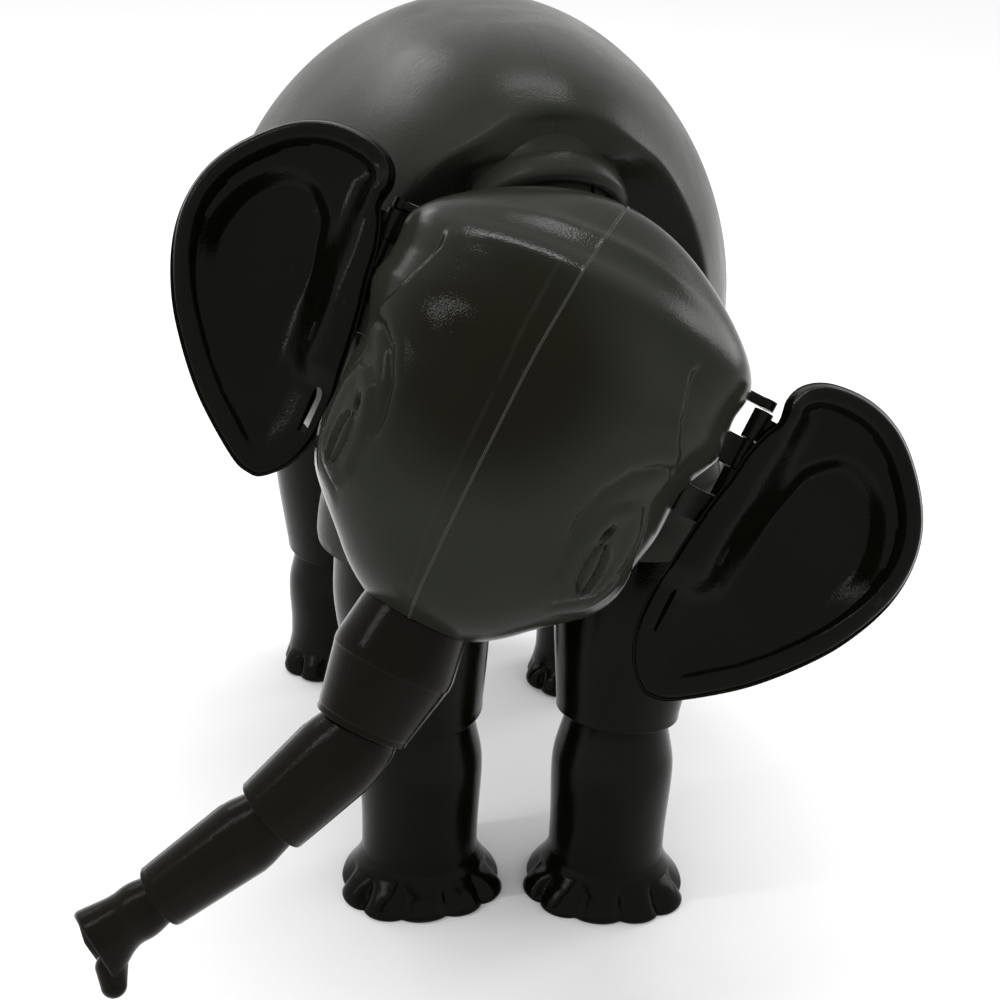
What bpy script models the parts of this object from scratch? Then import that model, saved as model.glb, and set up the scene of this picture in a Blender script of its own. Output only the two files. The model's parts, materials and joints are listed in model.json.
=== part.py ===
# Jointed toy elephant of moulded plastic, built from hollow shells, ball-topped tubes, links and pins.
# It faces -Y and stands on z = 0. Lengths are in metres, angles in degrees.
import math

import bmesh
import bpy
from mathutils import Matrix, Vector

# Where the body's middle plane and the front feet stand from the middle of the whole figure
STANCE_X = 0.0162
STANCE_Y = 0.0010

# Clearances that several pieces share, how far a cutter runs past its piece, and the merging of seams
RUNNING_GAP = 0.0003
SEAM_GAP = 0.0003
PIN_GAP = 0.0003
OVERRUN = 0.0040
MERGE_DISTANCE = 0.00001

# Body, two half shells that meet on the plane x = 0
BODY_HALF_WIDTH = 0.0583
BODY_FRONT_Y = -0.0700
BODY_REAR_Y = 0.0930
BODY_WIDEST_Y = 0.0420
BODY_TOP_Z = 0.1900
BODY_BOTTOM_Z = 0.0780
BODY_WALL = 0.0024
BODY_MIDDLE_SHARE = 0.50
BODY_FRONT_POWER = 3.6
BODY_REAR_POWER = 2.4
BODY_SIDE_POWER = 2.1
BODY_TOP_NARROW_SHARE = 0.13
RUMP_DROP_SHARE = 0.16

# Hollow in the body's front that gives the head room, and the neck socket in it
DISH_RADIUS = 0.0623
DISH_DEEPEST_Y = -0.0362
DISH_Z = 0.1320
NECK_Y = -0.0520
NECK_Z = 0.1580
NECK_SOCKET_PITCH = 45.0
NECK_BALL_RADIUS = 0.0125
NECK_ARM_RADIUS = 0.0075
NECK_STUD_RADIUS = 0.0040
NECK_STUD_LENGTH = 0.0100
NECK_FLANGE_RADIUS = 0.0062
NECK_FLANGE_THICKNESS = 0.0016

# Head, placed by its middle and turned as the toy holds it in the photograph
HEAD_X = -0.0107
HEAD_Y = -0.0838
HEAD_Z = 0.1292
HEAD_PITCH = -28.37
HEAD_ROLL = 20.73
HEAD_YAW = -27.00
HEAD_HALF_HEIGHT = 0.0430
HEAD_HALF_WIDTH = 0.0360
HEAD_FRONT_DEPTH = 0.0290
HEAD_BACK_DEPTH = 0.0200
HEAD_WALL = 0.0020
HEAD_STUD_Z = 0.0110

# Ears, hinged on the head's sides
EAR_SPAN = 0.0375
EAR_HEIGHT = 0.0655
EAR_LEFT_HINGE = (0.0390, 0.0055, 0.0070)
EAR_RIGHT_HINGE = (-0.0374, 0.0055, 0.0092)
EAR_LEFT_SWEEP = 6.0
EAR_RIGHT_SWEEP = -2.0
EAR_RIGHT_LEAN = 4.0
EAR_THICKNESS = 0.0016
EAR_RIM_WIDTH = 0.0030
EAR_RIM_RISE = 0.0022
EAR_DISH_DEPTH = 0.0040
EAR_KNUCKLE_RADIUS = 0.0019
EAR_PIN_RADIUS = 0.0008
EAR_HINGE_LENGTH = 0.0300
EAR_LUG_REACH = 0.0030
EAR_LUG_ROOT_SHARE = 0.19

# Trunk, four tubes; each entry belongs to one tube, from the head down
TRUNK_PLANE_TURN = 4.0
TRUNK_ROOT_DROP = 0.0430
TRUNK_PITCHES = (0.0225, 0.0228, 0.0245)
TRUNK_LEANS = (-1.6, 19.9, 26.9, 29.4)
TRUNK_BALL_RADII = (0.0106, 0.0076, 0.0063, 0.0048)
TRUNK_SHOULDER_RADII = (0.0116, 0.0083, 0.0072, 0.0055)
TRUNK_RIM_RADII = (0.0089, 0.0076, 0.0061)
TRUNK_TIP_WAIST = 0.0048
TRUNK_TIP_MOUTH = 0.0066
TRUNK_TIP_LENGTH = 0.0135
TRUNK_TIP_LIP = 0.0058
TRUNK_TIP_DROOP_SHARE = 0.20
TRUNK_TIP_WALL = 0.0008

# Legs; front left is the elephant's own left, on the +X side
HIP_Z = 0.0840
FRONT_HIP_X = 0.0250
FRONT_HIP_Y = -0.0480
HIND_HIP_X = 0.0320
HIND_HIP_Y = 0.0460
HIP_BALL_RADIUS = 0.0160
HIP_SOCKET_WALL = 0.0022
HAUNCH_RADIUS = 0.0195
HAUNCH_HEIGHT = 0.0350
HIP_SWING_ROOM = 0.0022
THIGH_RADIUS = 0.0170
KNEE_RIM_RADIUS = 0.0138
KNEE_BALL_RADIUS = 0.0117
FRONT_KNEE_Z = 0.0415
HIND_KNEE_Z = 0.0340
SHIN_RADIUS = 0.0137
ANKLE_RADIUS = 0.0133
FRONT_FOOT_RADIUS = 0.0190
HIND_FOOT_RADIUS = 0.0160
FOOT_HEIGHT = 0.0130
FOOT_EDGE = 0.0015
FOOT_TOE_REACH = 0.0030
FRONT_LEFT_FOOT = (0.0214, -0.0545)
FRONT_RIGHT_FOOT = (-0.0215, -0.0475)
HIND_LEFT_FOOT = (0.0378, 0.0360)
HIND_RIGHT_FOOT = (-0.0304, 0.0540)
FRONT_LEFT_FOOT_TURN = -12.0
FRONT_RIGHT_FOOT_TURN = 2.0
HIND_LEFT_FOOT_TURN = -6.0
HIND_RIGHT_FOOT_TURN = 4.0

# Links and pins inside the ball joints
TONGUE_SHARE = 0.28
PIN_SHARE = 0.14
RIM_LIFT_SHARE = 0.32
BULKHEAD_SHARE = 0.16
STEM_SHARE = 0.22
SLOT_SHARE = 0.76
PIN_LENGTH_SHARE = 0.94

# Tail
TAIL_LENGTH = 0.0520
TAIL_ROOT_RADIUS = 0.0030
TAIL_TIP_RADIUS = 0.0016
TAIL_TUFT_RADIUS = 0.0034
TAIL_HINGE_Z = 0.1420
TAIL_EYE_THICKNESS = 0.0026
TAIL_LUG_THICKNESS = 0.0018
TAIL_PIN_RADIUS = 0.0009
TAIL_START_SHARE = 0.10
TAIL_DROP_SHARE = 0.04
TAIL_BOW_SHARE = 0.22
TAIL_TURN_SHARE = 0.60
TAIL_TUFT_SHARE = 0.72
TAIL_LUG_LENGTH_SHARE = 2.4
TAIL_STEPS = 14

# Facet counts
ROUND = 18
SMALL_ROUND = 10
FOOT_ROUND = 24
BALL_STEPS = 5
BODY_SEGMENTS = 28
BODY_RINGS = 18
HOLLOW_SEGMENTS = 20
HOLLOW_RINGS = 12
HEAD_SEGMENTS = 24
HEAD_RINGS = 14
EAR_OUTLINE_STEPS = 32

PLASTIC = (0.020, 0.021, 0.012)
INNER_PLASTIC = (0.035, 0.036, 0.024)
PIN_METAL = (0.55, 0.55, 0.53)

# Pieces whose many cuts and joins only the manifold solver keeps closed
MANY_CUTS = ("body_left", "body_right", "head_left", "head_right", "neck")

partNames = []


def clear_scene():
    for thing in list(bpy.data.objects):
        bpy.data.objects.remove(thing, do_unlink=True)
    for name in ("toy_elephant", "cutters"):
        group = bpy.data.collections.new(name)
        bpy.context.scene.collection.children.link(group)


def material(name, colour, roughness, metallic):
    made = bpy.data.materials.get(name)
    if made is None:
        made = bpy.data.materials.new(name)
        made.use_nodes = True
        shader = made.node_tree.nodes["Principled BSDF"]
        shader.inputs["Base Color"].default_value = (*colour, 1)
        shader.inputs["Roughness"].default_value = roughness
        shader.inputs["Metallic"].default_value = metallic
    return made


def plastic():
    return material("black_plastic", PLASTIC, 0.28, 0)


def inner_plastic():
    return material("inner_plastic", INNER_PLASTIC, 0.45, 0)


def steel():
    return material("pin_steel", PIN_METAL, 0.35, 1)


def add_object(name, mesh, place, finish=None):
    made = bpy.data.objects.new(name, mesh)
    made.matrix_world = Matrix.Translation((STANCE_X, STANCE_Y, 0)) @ place
    if finish is None:
        bpy.data.collections["cutters"].objects.link(made)
        made.hide_render = True
        made.display_type = "WIRE"
    else:
        bpy.data.collections["toy_elephant"].objects.link(made)
        mesh.materials.append(finish)
        mesh.shade_smooth()
        mesh.set_sharp_from_angle(angle=math.radians(35))
        partNames.append(name)
    return made


def from_bmesh(name, bm, place, finish=None):
    mesh = bpy.data.meshes.new(name)
    bm.to_mesh(mesh)
    bm.free()
    return add_object(name, mesh, place, finish)


def turned(name, profile, place, finish=None, steps=ROUND):
    """Turns a profile of (radius, height) points, from the top down its outer side, about the local Z."""
    mesh = bpy.data.meshes.new(name)
    points = [(radius, 0, height) for radius, height in profile]
    mesh.from_pydata(points, [(i, i + 1) for i in range(len(points) - 1)], [])
    made = add_object(name, mesh, place, finish)
    screw = made.modifiers.new("turn", "SCREW")
    screw.steps = steps
    screw.render_steps = steps
    screw.use_merge_vertices = True
    screw.merge_threshold = MERGE_DISTANCE
    screw.use_smooth_shade = True
    return made


def cylinder(name, radius, low, high, place, finish=None, steps=ROUND):
    profile = [(0, high), (radius, high), (radius, low), (0, low)]
    return turned(name, profile, place, finish, steps)


def cross_bar(name, radius, reach, place, finish=None):
    """A round bar along the placing's X, as long as reach each way."""
    return cylinder(name, radius, -reach, reach, place @ turn_about("Y", 90), finish, SMALL_ROUND)


def box(name, size, centre, place):
    bm = bmesh.new()
    bmesh.ops.create_cube(bm, size=1)
    bmesh.ops.scale(bm, vec=size, verts=bm.verts)
    bmesh.ops.translate(bm, vec=centre, verts=bm.verts)
    return from_bmesh(name, bm, place)


def boolean(target, tool, operation):
    cut = target.modifiers.new(operation.lower() + "_" + tool.name, "BOOLEAN")
    cut.operation = operation
    cut.solver = "MANIFOLD" if target.name.startswith(MANY_CUTS) else "EXACT"
    cut.object = tool


def cut_away(target, *tools):
    for tool in tools:
        boolean(target, tool, "DIFFERENCE")


def join_on(target, *tools):
    for tool in tools:
        boolean(target, tool, "UNION")


def along(direction, at=(0, 0, 0)):
    """A placing whose Z axis lies along direction."""
    turn = Vector(direction).to_track_quat("Z", "Y").to_matrix().to_4x4()
    return Matrix.Translation(at) @ turn


def turn_about(axis, angle):
    return Matrix.Rotation(math.radians(angle), 4, axis)


def smooth_table(shares, position):
    """Reads a table of (position, value) shares with a smooth curve between its entries."""
    if position >= shares[0][0]:
        return shares[0][1]
    for (high, high_value), (low, low_value) in zip(shares, shares[1:]):
        if position >= low:
            part = (high - position) / (high - low)
            ease = part * part * (3 - 2 * part)
            return high_value + (low_value - high_value) * ease
    return shares[-1][1]


def superellipse(position, power):
    """Half width of a rounded outline, from 1 in its middle to 0 at its end."""
    return max(0, 1 - abs(position) ** power) ** (1 / power)


def unit_ball(segments, rings):
    bm = bmesh.new()
    bmesh.ops.create_uvsphere(bm, u_segments=segments, v_segments=rings, radius=1)
    return bm


# Places that several pieces share

def neck_place():
    """Neck ball's middle; Z points back and up into the body, along the socket."""
    pitch = math.radians(NECK_SOCKET_PITCH)
    return along((0, math.cos(pitch), math.sin(pitch)), (0, NECK_Y, NECK_Z))


def head_place():
    turn = turn_about("Z", HEAD_YAW) @ turn_about("Y", HEAD_ROLL) @ turn_about("X", HEAD_PITCH)
    return Matrix.Translation((HEAD_X, HEAD_Y, HEAD_Z)) @ turn


def trunk_places():
    """Link and tube placings of each trunk joint; X is the pin, Z runs up the tube above or this one."""
    plane = head_place() @ turn_about("Z", TRUNK_PLANE_TURN)
    centre = Vector((0, 0, -TRUNK_ROOT_DROP))
    links = []
    tubes = []
    lean_above = 0
    for index, lean in enumerate(TRUNK_LEANS):
        at = plane @ Matrix.Translation(centre)
        links.append(at @ turn_about("Y", lean_above) @ turn_about("Z", 90))
        tubes.append(at @ turn_about("Y", lean) @ turn_about("Z", 90))
        lean_above = lean
        if index < len(TRUNK_PITCHES):
            step = Vector((0, 0, -TRUNK_PITCHES[index]))
            centre = centre + turn_about("Y", lean) @ step
    return links, tubes


def leg_table():
    """Side, hip with knee height and foot radius, foot and its turn, of each leg."""
    front = (FRONT_HIP_X, FRONT_HIP_Y, FRONT_KNEE_Z, FRONT_FOOT_RADIUS)
    hind = (HIND_HIP_X, HIND_HIP_Y, HIND_KNEE_Z, HIND_FOOT_RADIUS)
    return {
        "front_left": (1, front, FRONT_LEFT_FOOT, FRONT_LEFT_FOOT_TURN),
        "front_right": (-1, front, FRONT_RIGHT_FOOT, FRONT_RIGHT_FOOT_TURN),
        "hind_left": (1, hind, HIND_LEFT_FOOT, HIND_LEFT_FOOT_TURN),
        "hind_right": (-1, hind, HIND_RIGHT_FOOT, HIND_RIGHT_FOOT_TURN),
    }


def upright(pin_axis, at):
    """A placing at a joint whose X is its pin and whose Z is as near to straight up as the pin allows."""
    pin_axis = pin_axis.normalized()
    back = Vector((0, 0, 1)).cross(pin_axis).normalized()
    return Matrix.Translation(at) @ Matrix((pin_axis, back, pin_axis.cross(back))).transposed().to_4x4()


def leg_places(side, hip, foot, foot_turn):
    """Placings of one leg: its socket, the tongue in it, thigh, knee link, knee pin and shin."""
    hip_x, hip_y, knee_z = hip[:3]
    foot_x, foot_y = foot
    hip_at = Vector((side * hip_x, hip_y, HIP_Z))
    knee_at = Vector((foot_x, foot_y, knee_z))
    socket = Matrix.Translation(hip_at)
    up = (hip_at - knee_at).normalized()
    pin = Vector((1, 0, 0))
    back = up.cross(pin).normalized()
    pin = back.cross(up)
    axes = Matrix((pin, back, up)).transposed().to_4x4()
    thigh = Matrix.Translation(hip_at) @ axes
    hanger = upright(pin, hip_at)
    link = Matrix.Translation(knee_at) @ axes @ turn_about("Z", foot_turn)
    knee = upright(link.to_3x3().col[0], knee_at)
    shin = Matrix.Translation(knee_at) @ turn_about("Z", foot_turn)
    return socket, hanger, thigh, link, knee, shin


# Ball joints: a tongue hangs from the piece above into a slot in the ball below, and a pin crosses both

def tongue_thickness(ball):
    return ball * TONGUE_SHARE * 2


def pin_radius(ball):
    return ball * PIN_SHARE


def rim_lift(ball):
    return ball * RIM_LIFT_SHARE


def tongue_radius(ball):
    return pin_radius(ball) + ball * PIN_SHARE


def bulkhead_low(ball):
    return ball + 2 * RUNNING_GAP


def bulkhead_high(ball):
    return bulkhead_low(ball) + ball * BULKHEAD_SHARE * 1.2


def stem_radius(ball):
    return ball * STEM_SHARE


def tongue(name, ball, top, place):
    """The flat tongue about a pin along X, from its rounded foot round the pin up to top."""
    half = tongue_thickness(ball) / 2
    radius = tongue_radius(ball)
    outline = [(-radius, top)]
    for index in range(SMALL_ROUND // 2 + 1):
        angle = math.pi * index / (SMALL_ROUND // 2)
        outline.append((-radius * math.cos(angle), -radius * math.sin(angle)))
    outline.append((radius, top))
    bm = bmesh.new()
    face = bm.faces.new([bm.verts.new((-half, y, z)) for y, z in outline])
    made = bmesh.ops.extrude_face_region(bm, geom=[face])
    pushed = [item for item in made["geom"] if isinstance(item, bmesh.types.BMVert)]
    bmesh.ops.translate(bm, vec=(2 * half, 0, 0), verts=pushed)
    bmesh.ops.recalc_face_normals(bm, faces=bm.faces)
    return from_bmesh(name, bm, place)


def cut_ball(target, ball, place):
    """Cuts the slot and the pin hole into a ball whose middle is at place, with the pin along X."""
    width = tongue_thickness(ball) + 2 * RUNNING_GAP
    low = -tongue_radius(ball) - RUNNING_GAP
    high = ball + OVERRUN
    depth = 2 * ball * SLOT_SHARE
    slot = box(target.name + "_slot", (width, depth, high - low), (0, 0, (high + low) / 2), place)
    hole = cross_bar(target.name + "_pin_hole", pin_radius(ball) + PIN_GAP, high, place)
    cut_away(target, slot, hole)


def pin(name, ball, place):
    return cross_bar(name, pin_radius(ball), ball * PIN_LENGTH_SHARE, place, steel())


def link(name, ball, place):
    """Turns in the bulkhead above a ball; its tongue holds the ball's pin."""
    shoulder = bulkhead_low(ball) - RUNNING_GAP
    shoulder_low = shoulder - ball * BULKHEAD_SHARE / 3
    head_low = bulkhead_high(ball) + RUNNING_GAP
    head_high = head_low + ball * BULKHEAD_SHARE
    stem = stem_radius(ball)
    head = stem + ball * BULKHEAD_SHARE
    profile = [
        (0, head_high), (head, head_high), (head, head_low), (stem, head_low),
        (stem, shoulder), (head, shoulder), (head, shoulder_low), (0, shoulder_low),
    ]
    made = turned(name, profile, place, inner_plastic(), SMALL_ROUND)
    join_on(made, tongue(name + "_tongue", ball, (shoulder + shoulder_low) / 2, place))
    cut_away(made, cross_bar(name + "_hole", pin_radius(ball) + PIN_GAP, ball, place))
    return made


def ball_profile(ball, to_angle, steps=BALL_STEPS):
    """A ball's outline from its top down to an angle below the top, in degrees."""
    points = []
    for index in range(steps + 1):
        angle = math.radians(to_angle * index / steps)
        points.append((ball * math.sin(angle), ball * math.cos(angle)))
    return points


def tube_inside(rim, rim_z, wall, ball_below):
    """The hollow of a tube from its rim up: bore, bulkhead with the link's hole, and the link's chamber."""
    bore = rim - wall
    centre = rim_z - rim_lift(ball_below)
    low = centre + bulkhead_low(ball_below)
    high = centre + bulkhead_high(ball_below)
    hole = stem_radius(ball_below) + RUNNING_GAP
    chamber = hole + ball_below * BULKHEAD_SHARE + RUNNING_GAP
    roof = high + ball_below * BULKHEAD_SHARE + 3 * RUNNING_GAP
    return [
        (rim, rim_z), (bore, rim_z), (bore, low), (hole, low),
        (hole, high), (chamber, high), (chamber, roof), (0, roof),
    ]


# Body

def body_point(direction, inset):
    """Body surface in a direction from its middle; inset moves it inwards by a wall."""
    x, y, z = direction
    across = max(math.hypot(x, z), 0.001)
    half_length = (BODY_REAR_Y - BODY_FRONT_Y) / 2
    at_y = BODY_FRONT_Y + half_length * (1 + y)
    reach = (BODY_REAR_Y if at_y > BODY_WIDEST_Y else BODY_FRONT_Y) - BODY_WIDEST_Y
    width = (BODY_HALF_WIDTH - inset) * superellipse((at_y - BODY_WIDEST_Y) / reach, BODY_SIDE_POWER)
    middle_z = BODY_BOTTOM_Z + (BODY_TOP_Z - BODY_BOTTOM_Z) * BODY_MIDDLE_SHARE
    rise = (BODY_TOP_Z - middle_z) if z > 0 else (middle_z - BODY_BOTTOM_Z)
    height = (rise - inset) * superellipse(y, BODY_FRONT_POWER if y < 0 else BODY_REAR_POWER)
    return Vector((
        width * x / across * (1 - BODY_TOP_NARROW_SHARE * z),
        at_y - inset * y,
        middle_z + height * z / across - RUMP_DROP_SHARE * rise * max(0, y) ** 2,
    ))


def body_form(name, inset, finish=None):
    bm = unit_ball(BODY_SEGMENTS, BODY_RINGS) if finish else unit_ball(HOLLOW_SEGMENTS, HOLLOW_RINGS)
    bmesh.ops.rotate(bm, matrix=Matrix.Rotation(math.pi / 2, 3, "X"), verts=bm.verts)
    for vert in bm.verts:
        vert.co = body_point(vert.co, inset)
    return from_bmesh(name, bm, Matrix(), finish)


def haunch(name, inset, place):
    """The rounded bulge over a leg's socket."""
    radius = HAUNCH_RADIUS - inset
    height = HAUNCH_HEIGHT - inset
    low = rim_lift(HIP_BALL_RADIUS)
    steps = 2 * BALL_STEPS
    angles = [math.pi / 2 * index / steps for index in range(steps + 1)]
    profile = [(radius * math.sin(angle), low + (height - low) * math.cos(angle)) for angle in angles]
    return turned(name, profile + [(0, low)], place)


def dish_ball(name, radius):
    bm = unit_ball(HOLLOW_SEGMENTS, HOLLOW_RINGS)
    bmesh.ops.scale(bm, vec=(radius, radius, radius), verts=bm.verts)
    return from_bmesh(name, bm, Matrix.Translation((0, DISH_DEEPEST_Y - DISH_RADIUS, DISH_Z)))


def half_sockets(side):
    """Socket and hanger placings of the legs on one side."""
    legs_here = [(leg, places) for leg, places in leg_table().items() if places[0] == side]
    return [(leg, *leg_places(*places)[:2]) for leg, places in legs_here]


def add_sockets(shell, hollow, side):
    """Puts a haunch and a socket over each leg and leaves their walls standing in the hollow."""
    wall_radius = HIP_BALL_RADIUS + RUNNING_GAP + HIP_SOCKET_WALL
    bottom = rim_lift(HIP_BALL_RADIUS)
    roof = bulkhead_high(HIP_BALL_RADIUS)
    for leg, socket, _ in half_sockets(side):
        join_on(shell, haunch(leg + "_haunch", 0, socket))
        join_on(hollow, haunch(leg + "_haunch_hollow", BODY_WALL, socket))
    for leg, socket, _ in half_sockets(side):
        join_on(shell, cylinder(leg + "_socket", wall_radius, bottom, roof, socket))
        cut_away(hollow, cylinder(leg + "_socket_wall", wall_radius, bottom - OVERRUN, roof, socket))


def open_sockets(shell, side):
    """Bores each leg's socket, gives the thigh room to swing and hangs the tongue that it pivots on."""
    ball = HIP_BALL_RADIUS
    bottom = rim_lift(ball)
    roof = bulkhead_high(ball)
    swing = THIGH_RADIUS + HIP_SWING_ROOM
    for leg, socket, hanger in half_sockets(side):
        cut_away(shell, cylinder(leg + "_bore", ball + RUNNING_GAP, -ball, bulkhead_low(ball), socket))
        cut_away(shell, cylinder(leg + "_swing_room", swing, -2 * THIGH_RADIUS, bottom * 0.8, socket))
        join_on(shell, tongue(leg + "_tongue", ball, (bulkhead_low(ball) + roof) / 2, hanger))
        hole = cross_bar(leg + "_tongue_hole", pin_radius(ball) + PIN_GAP, tongue_thickness(ball), hanger)
        cut_away(shell, hole)


def body_half(name, side):
    """One half shell: wall, leg sockets with their tongues, neck socket, tail lug."""
    shell = body_form(name, 0, plastic())
    hollow = body_form(name + "_hollow", BODY_WALL)
    cut_away(hollow, dish_ball(name + "_dish_wall", DISH_RADIUS + BODY_WALL))
    cut_away(shell, dish_ball(name + "_dish", DISH_RADIUS))
    add_sockets(shell, hollow, side)
    neck_at = neck_place()
    ball = NECK_BALL_RADIUS
    boss_radius = ball + RUNNING_GAP + BODY_WALL
    low = rim_lift(ball)
    high = bulkhead_high(ball)
    join_on(shell, cylinder(name + "_neck_boss", boss_radius, low, high, neck_at))
    cut_away(hollow, cylinder(name + "_neck_wall", boss_radius, low - OVERRUN, high, neck_at))
    cut_away(shell, hollow)
    open_sockets(shell, side)
    bore = cylinder(name + "_neck_bore", ball + RUNNING_GAP, -ball - OVERRUN, bulkhead_low(ball), neck_at)
    stem = stem_radius(ball) + RUNNING_GAP
    hole = cylinder(name + "_neck_hole", stem, 0, 2 * ball, neck_at, None, SMALL_ROUND)
    cut_away(shell, bore, hole)
    add_tail_lug(shell, side)
    keep_half(shell, side, Matrix.Translation((0, 0, BODY_BOTTOM_Z)))
    return shell


def tail_hinge():
    """The tail's hinge lies just behind the rump."""
    middle_z = BODY_BOTTOM_Z + (BODY_TOP_Z - BODY_BOTTOM_Z) * BODY_MIDDLE_SHARE
    rise = BODY_TOP_Z - middle_z
    half_length = (BODY_REAR_Y - BODY_FRONT_Y) / 2
    rump = BODY_FRONT_Y
    for angle in range(90):
        y = math.sin(math.radians(angle))
        drop = RUMP_DROP_SHARE * rise * y ** 2
        if middle_z + rise * superellipse(y, BODY_REAR_POWER) - drop >= TAIL_HINGE_Z:
            rump = BODY_FRONT_Y + half_length * (1 + y)
    return Vector((0, rump + TAIL_ROOT_RADIUS + RUNNING_GAP, TAIL_HINGE_Z))


def add_tail_lug(shell, side):
    """One of the two lugs that the tail's eye hangs between."""
    place = Matrix.Translation(tail_hinge())
    inner = TAIL_EYE_THICKNESS / 2 + RUNNING_GAP
    middle = side * (inner + TAIL_LUG_THICKNESS / 2)
    radius = TAIL_ROOT_RADIUS
    name = shell.name + "_tail_lug"
    beside = place @ Matrix.Translation((middle, 0, 0))
    lug = cross_bar(name, radius, TAIL_LUG_THICKNESS / 2, beside)
    length = radius * TAIL_LUG_LENGTH_SHARE
    root = box(name + "_root", (TAIL_LUG_THICKNESS, length, radius * 2), (0, -length / 2, 0), beside)
    join_on(shell, root, lug)
    eye_room = cross_bar(name + "_eye_room", radius + 2 * RUNNING_GAP, inner, place)
    hole = cross_bar(name + "_hole", TAIL_PIN_RADIUS + PIN_GAP, 2 * radius, place)
    cut_away(shell, eye_room, hole)


def keep_half(shell, side, place):
    """Cuts a closed form down to the half on one side of the placing's X = 0, less half the seam."""
    size = (BODY_REAR_Y - BODY_FRONT_Y + BODY_HALF_WIDTH + BODY_TOP_Z) * 2
    centre = (-side * (size - SEAM_GAP) / 2, 0, 0)
    cut_away(shell, box(shell.name + "_other_half", (size, size, size), centre, place))


def tail_line():
    """The tail's hanging line as (y, z, radius) points, the last few thickened to a tuft."""
    points = []
    for index in range(TAIL_STEPS + 1):
        part = index / TAIL_STEPS
        out = TAIL_LENGTH * (TAIL_START_SHARE + TAIL_BOW_SHARE * math.sin(math.pi * part * TAIL_TURN_SHARE))
        down = TAIL_LENGTH * (TAIL_DROP_SHARE + (1 - TAIL_DROP_SHARE) * part)
        radius = TAIL_ROOT_RADIUS + (TAIL_TIP_RADIUS - TAIL_ROOT_RADIUS) * part
        into_tuft = max(0, part - TAIL_TUFT_SHARE) / (1 - TAIL_TUFT_SHARE)
        radius += (TAIL_TUFT_RADIUS - TAIL_TIP_RADIUS) * math.sin(math.pi * into_tuft)
        points.append((out, -down, radius))
    return points


def tail():
    """A drooping tail with a tuft, its eye between the rump's lugs, and its pin."""
    place = Matrix.Translation(tail_hinge())
    bm = bmesh.new()
    rings = []
    for y, z, radius in tail_line():
        angles = [2 * math.pi * index / SMALL_ROUND for index in range(SMALL_ROUND)]
        rings.append([bm.verts.new((radius * math.cos(a), y + radius * math.sin(a), z)) for a in angles])
    for upper, lower in zip(rings, rings[1:]):
        for index in range(SMALL_ROUND):
            other = (index + 1) % SMALL_ROUND
            bm.faces.new((upper[index], upper[other], lower[other], lower[index]))
    bm.faces.new(rings[0])
    bm.faces.new(rings[-1])
    bmesh.ops.recalc_face_normals(bm, faces=bm.faces)
    made = from_bmesh("tail", bm, place, plastic())
    radius = TAIL_ROOT_RADIUS - RUNNING_GAP
    half = TAIL_EYE_THICKNESS / 2
    eye = cross_bar("tail_eye", radius, half, place)
    reach, low = tail_line()[0][:2]
    middle = (0, reach / 2, (radius / 2 + low) / 2)
    arm = box("tail_eye_arm", (TAIL_EYE_THICKNESS, reach, radius - low), middle, place)
    join_on(made, arm, eye)
    cut_away(made, cross_bar("tail_eye_hole", TAIL_PIN_RADIUS + PIN_GAP, TAIL_EYE_THICKNESS, place))
    cross_bar("tail_pin", TAIL_PIN_RADIUS, half + RUNNING_GAP + TAIL_LUG_THICKNESS, place, steel())
    return made


# Head

HEAD_WIDTH_SHARES = (
    (1.0, 1.05), (0.62, 1.17), (0.30, 1.07), (0.0, 0.93),
    (-0.25, 0.95), (-0.55, 0.98), (-0.80, 0.85), (-1.0, 0.85))
HEAD_FRONT_SHARES = ((1.0, 0.62), (0.55, 0.95), (0.20, 1.05), (-0.20, 0.98), (-0.60, 0.98), (-1.0, 1.10))
HEAD_BACK_SHARES = ((1.0, 0.20), (0.60, 0.55), (0.20, 0.95), (-0.25, 1.05), (-0.70, 0.85), (-1.0, 0.70))


def head_point(direction, inset):
    x, y, z = direction
    depth = HEAD_FRONT_DEPTH if y < 0 else HEAD_BACK_DEPTH
    depth_shares = HEAD_FRONT_SHARES if y < 0 else HEAD_BACK_SHARES
    return Vector((
        (HEAD_HALF_WIDTH - inset) * x * smooth_table(HEAD_WIDTH_SHARES, z),
        (depth - inset) * y * smooth_table(depth_shares, z),
        (HEAD_HALF_HEIGHT - inset) * z,
    ))


def head_form(name, inset, finish=None):
    bm = unit_ball(HEAD_SEGMENTS, HEAD_RINGS) if finish else unit_ball(HOLLOW_SEGMENTS, HOLLOW_RINGS)
    for vert in bm.verts:
        vert.co = head_point(vert.co, inset)
    return from_bmesh(name, bm, head_place(), finish)


def head_back_y(height):
    """Depth of the head's back at a height above its middle."""
    share = height / HEAD_HALF_HEIGHT
    return HEAD_BACK_DEPTH * math.sqrt(1 - share ** 2) * smooth_table(HEAD_BACK_SHARES, share)


def stud_place():
    """The stud's seat on the head's back; Z points out of the head, to the rear."""
    back = head_back_y(HEAD_STUD_Z) + RUNNING_GAP
    return head_place() @ Matrix.Translation((0, back, HEAD_STUD_Z)) @ turn_about("X", -90)


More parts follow.
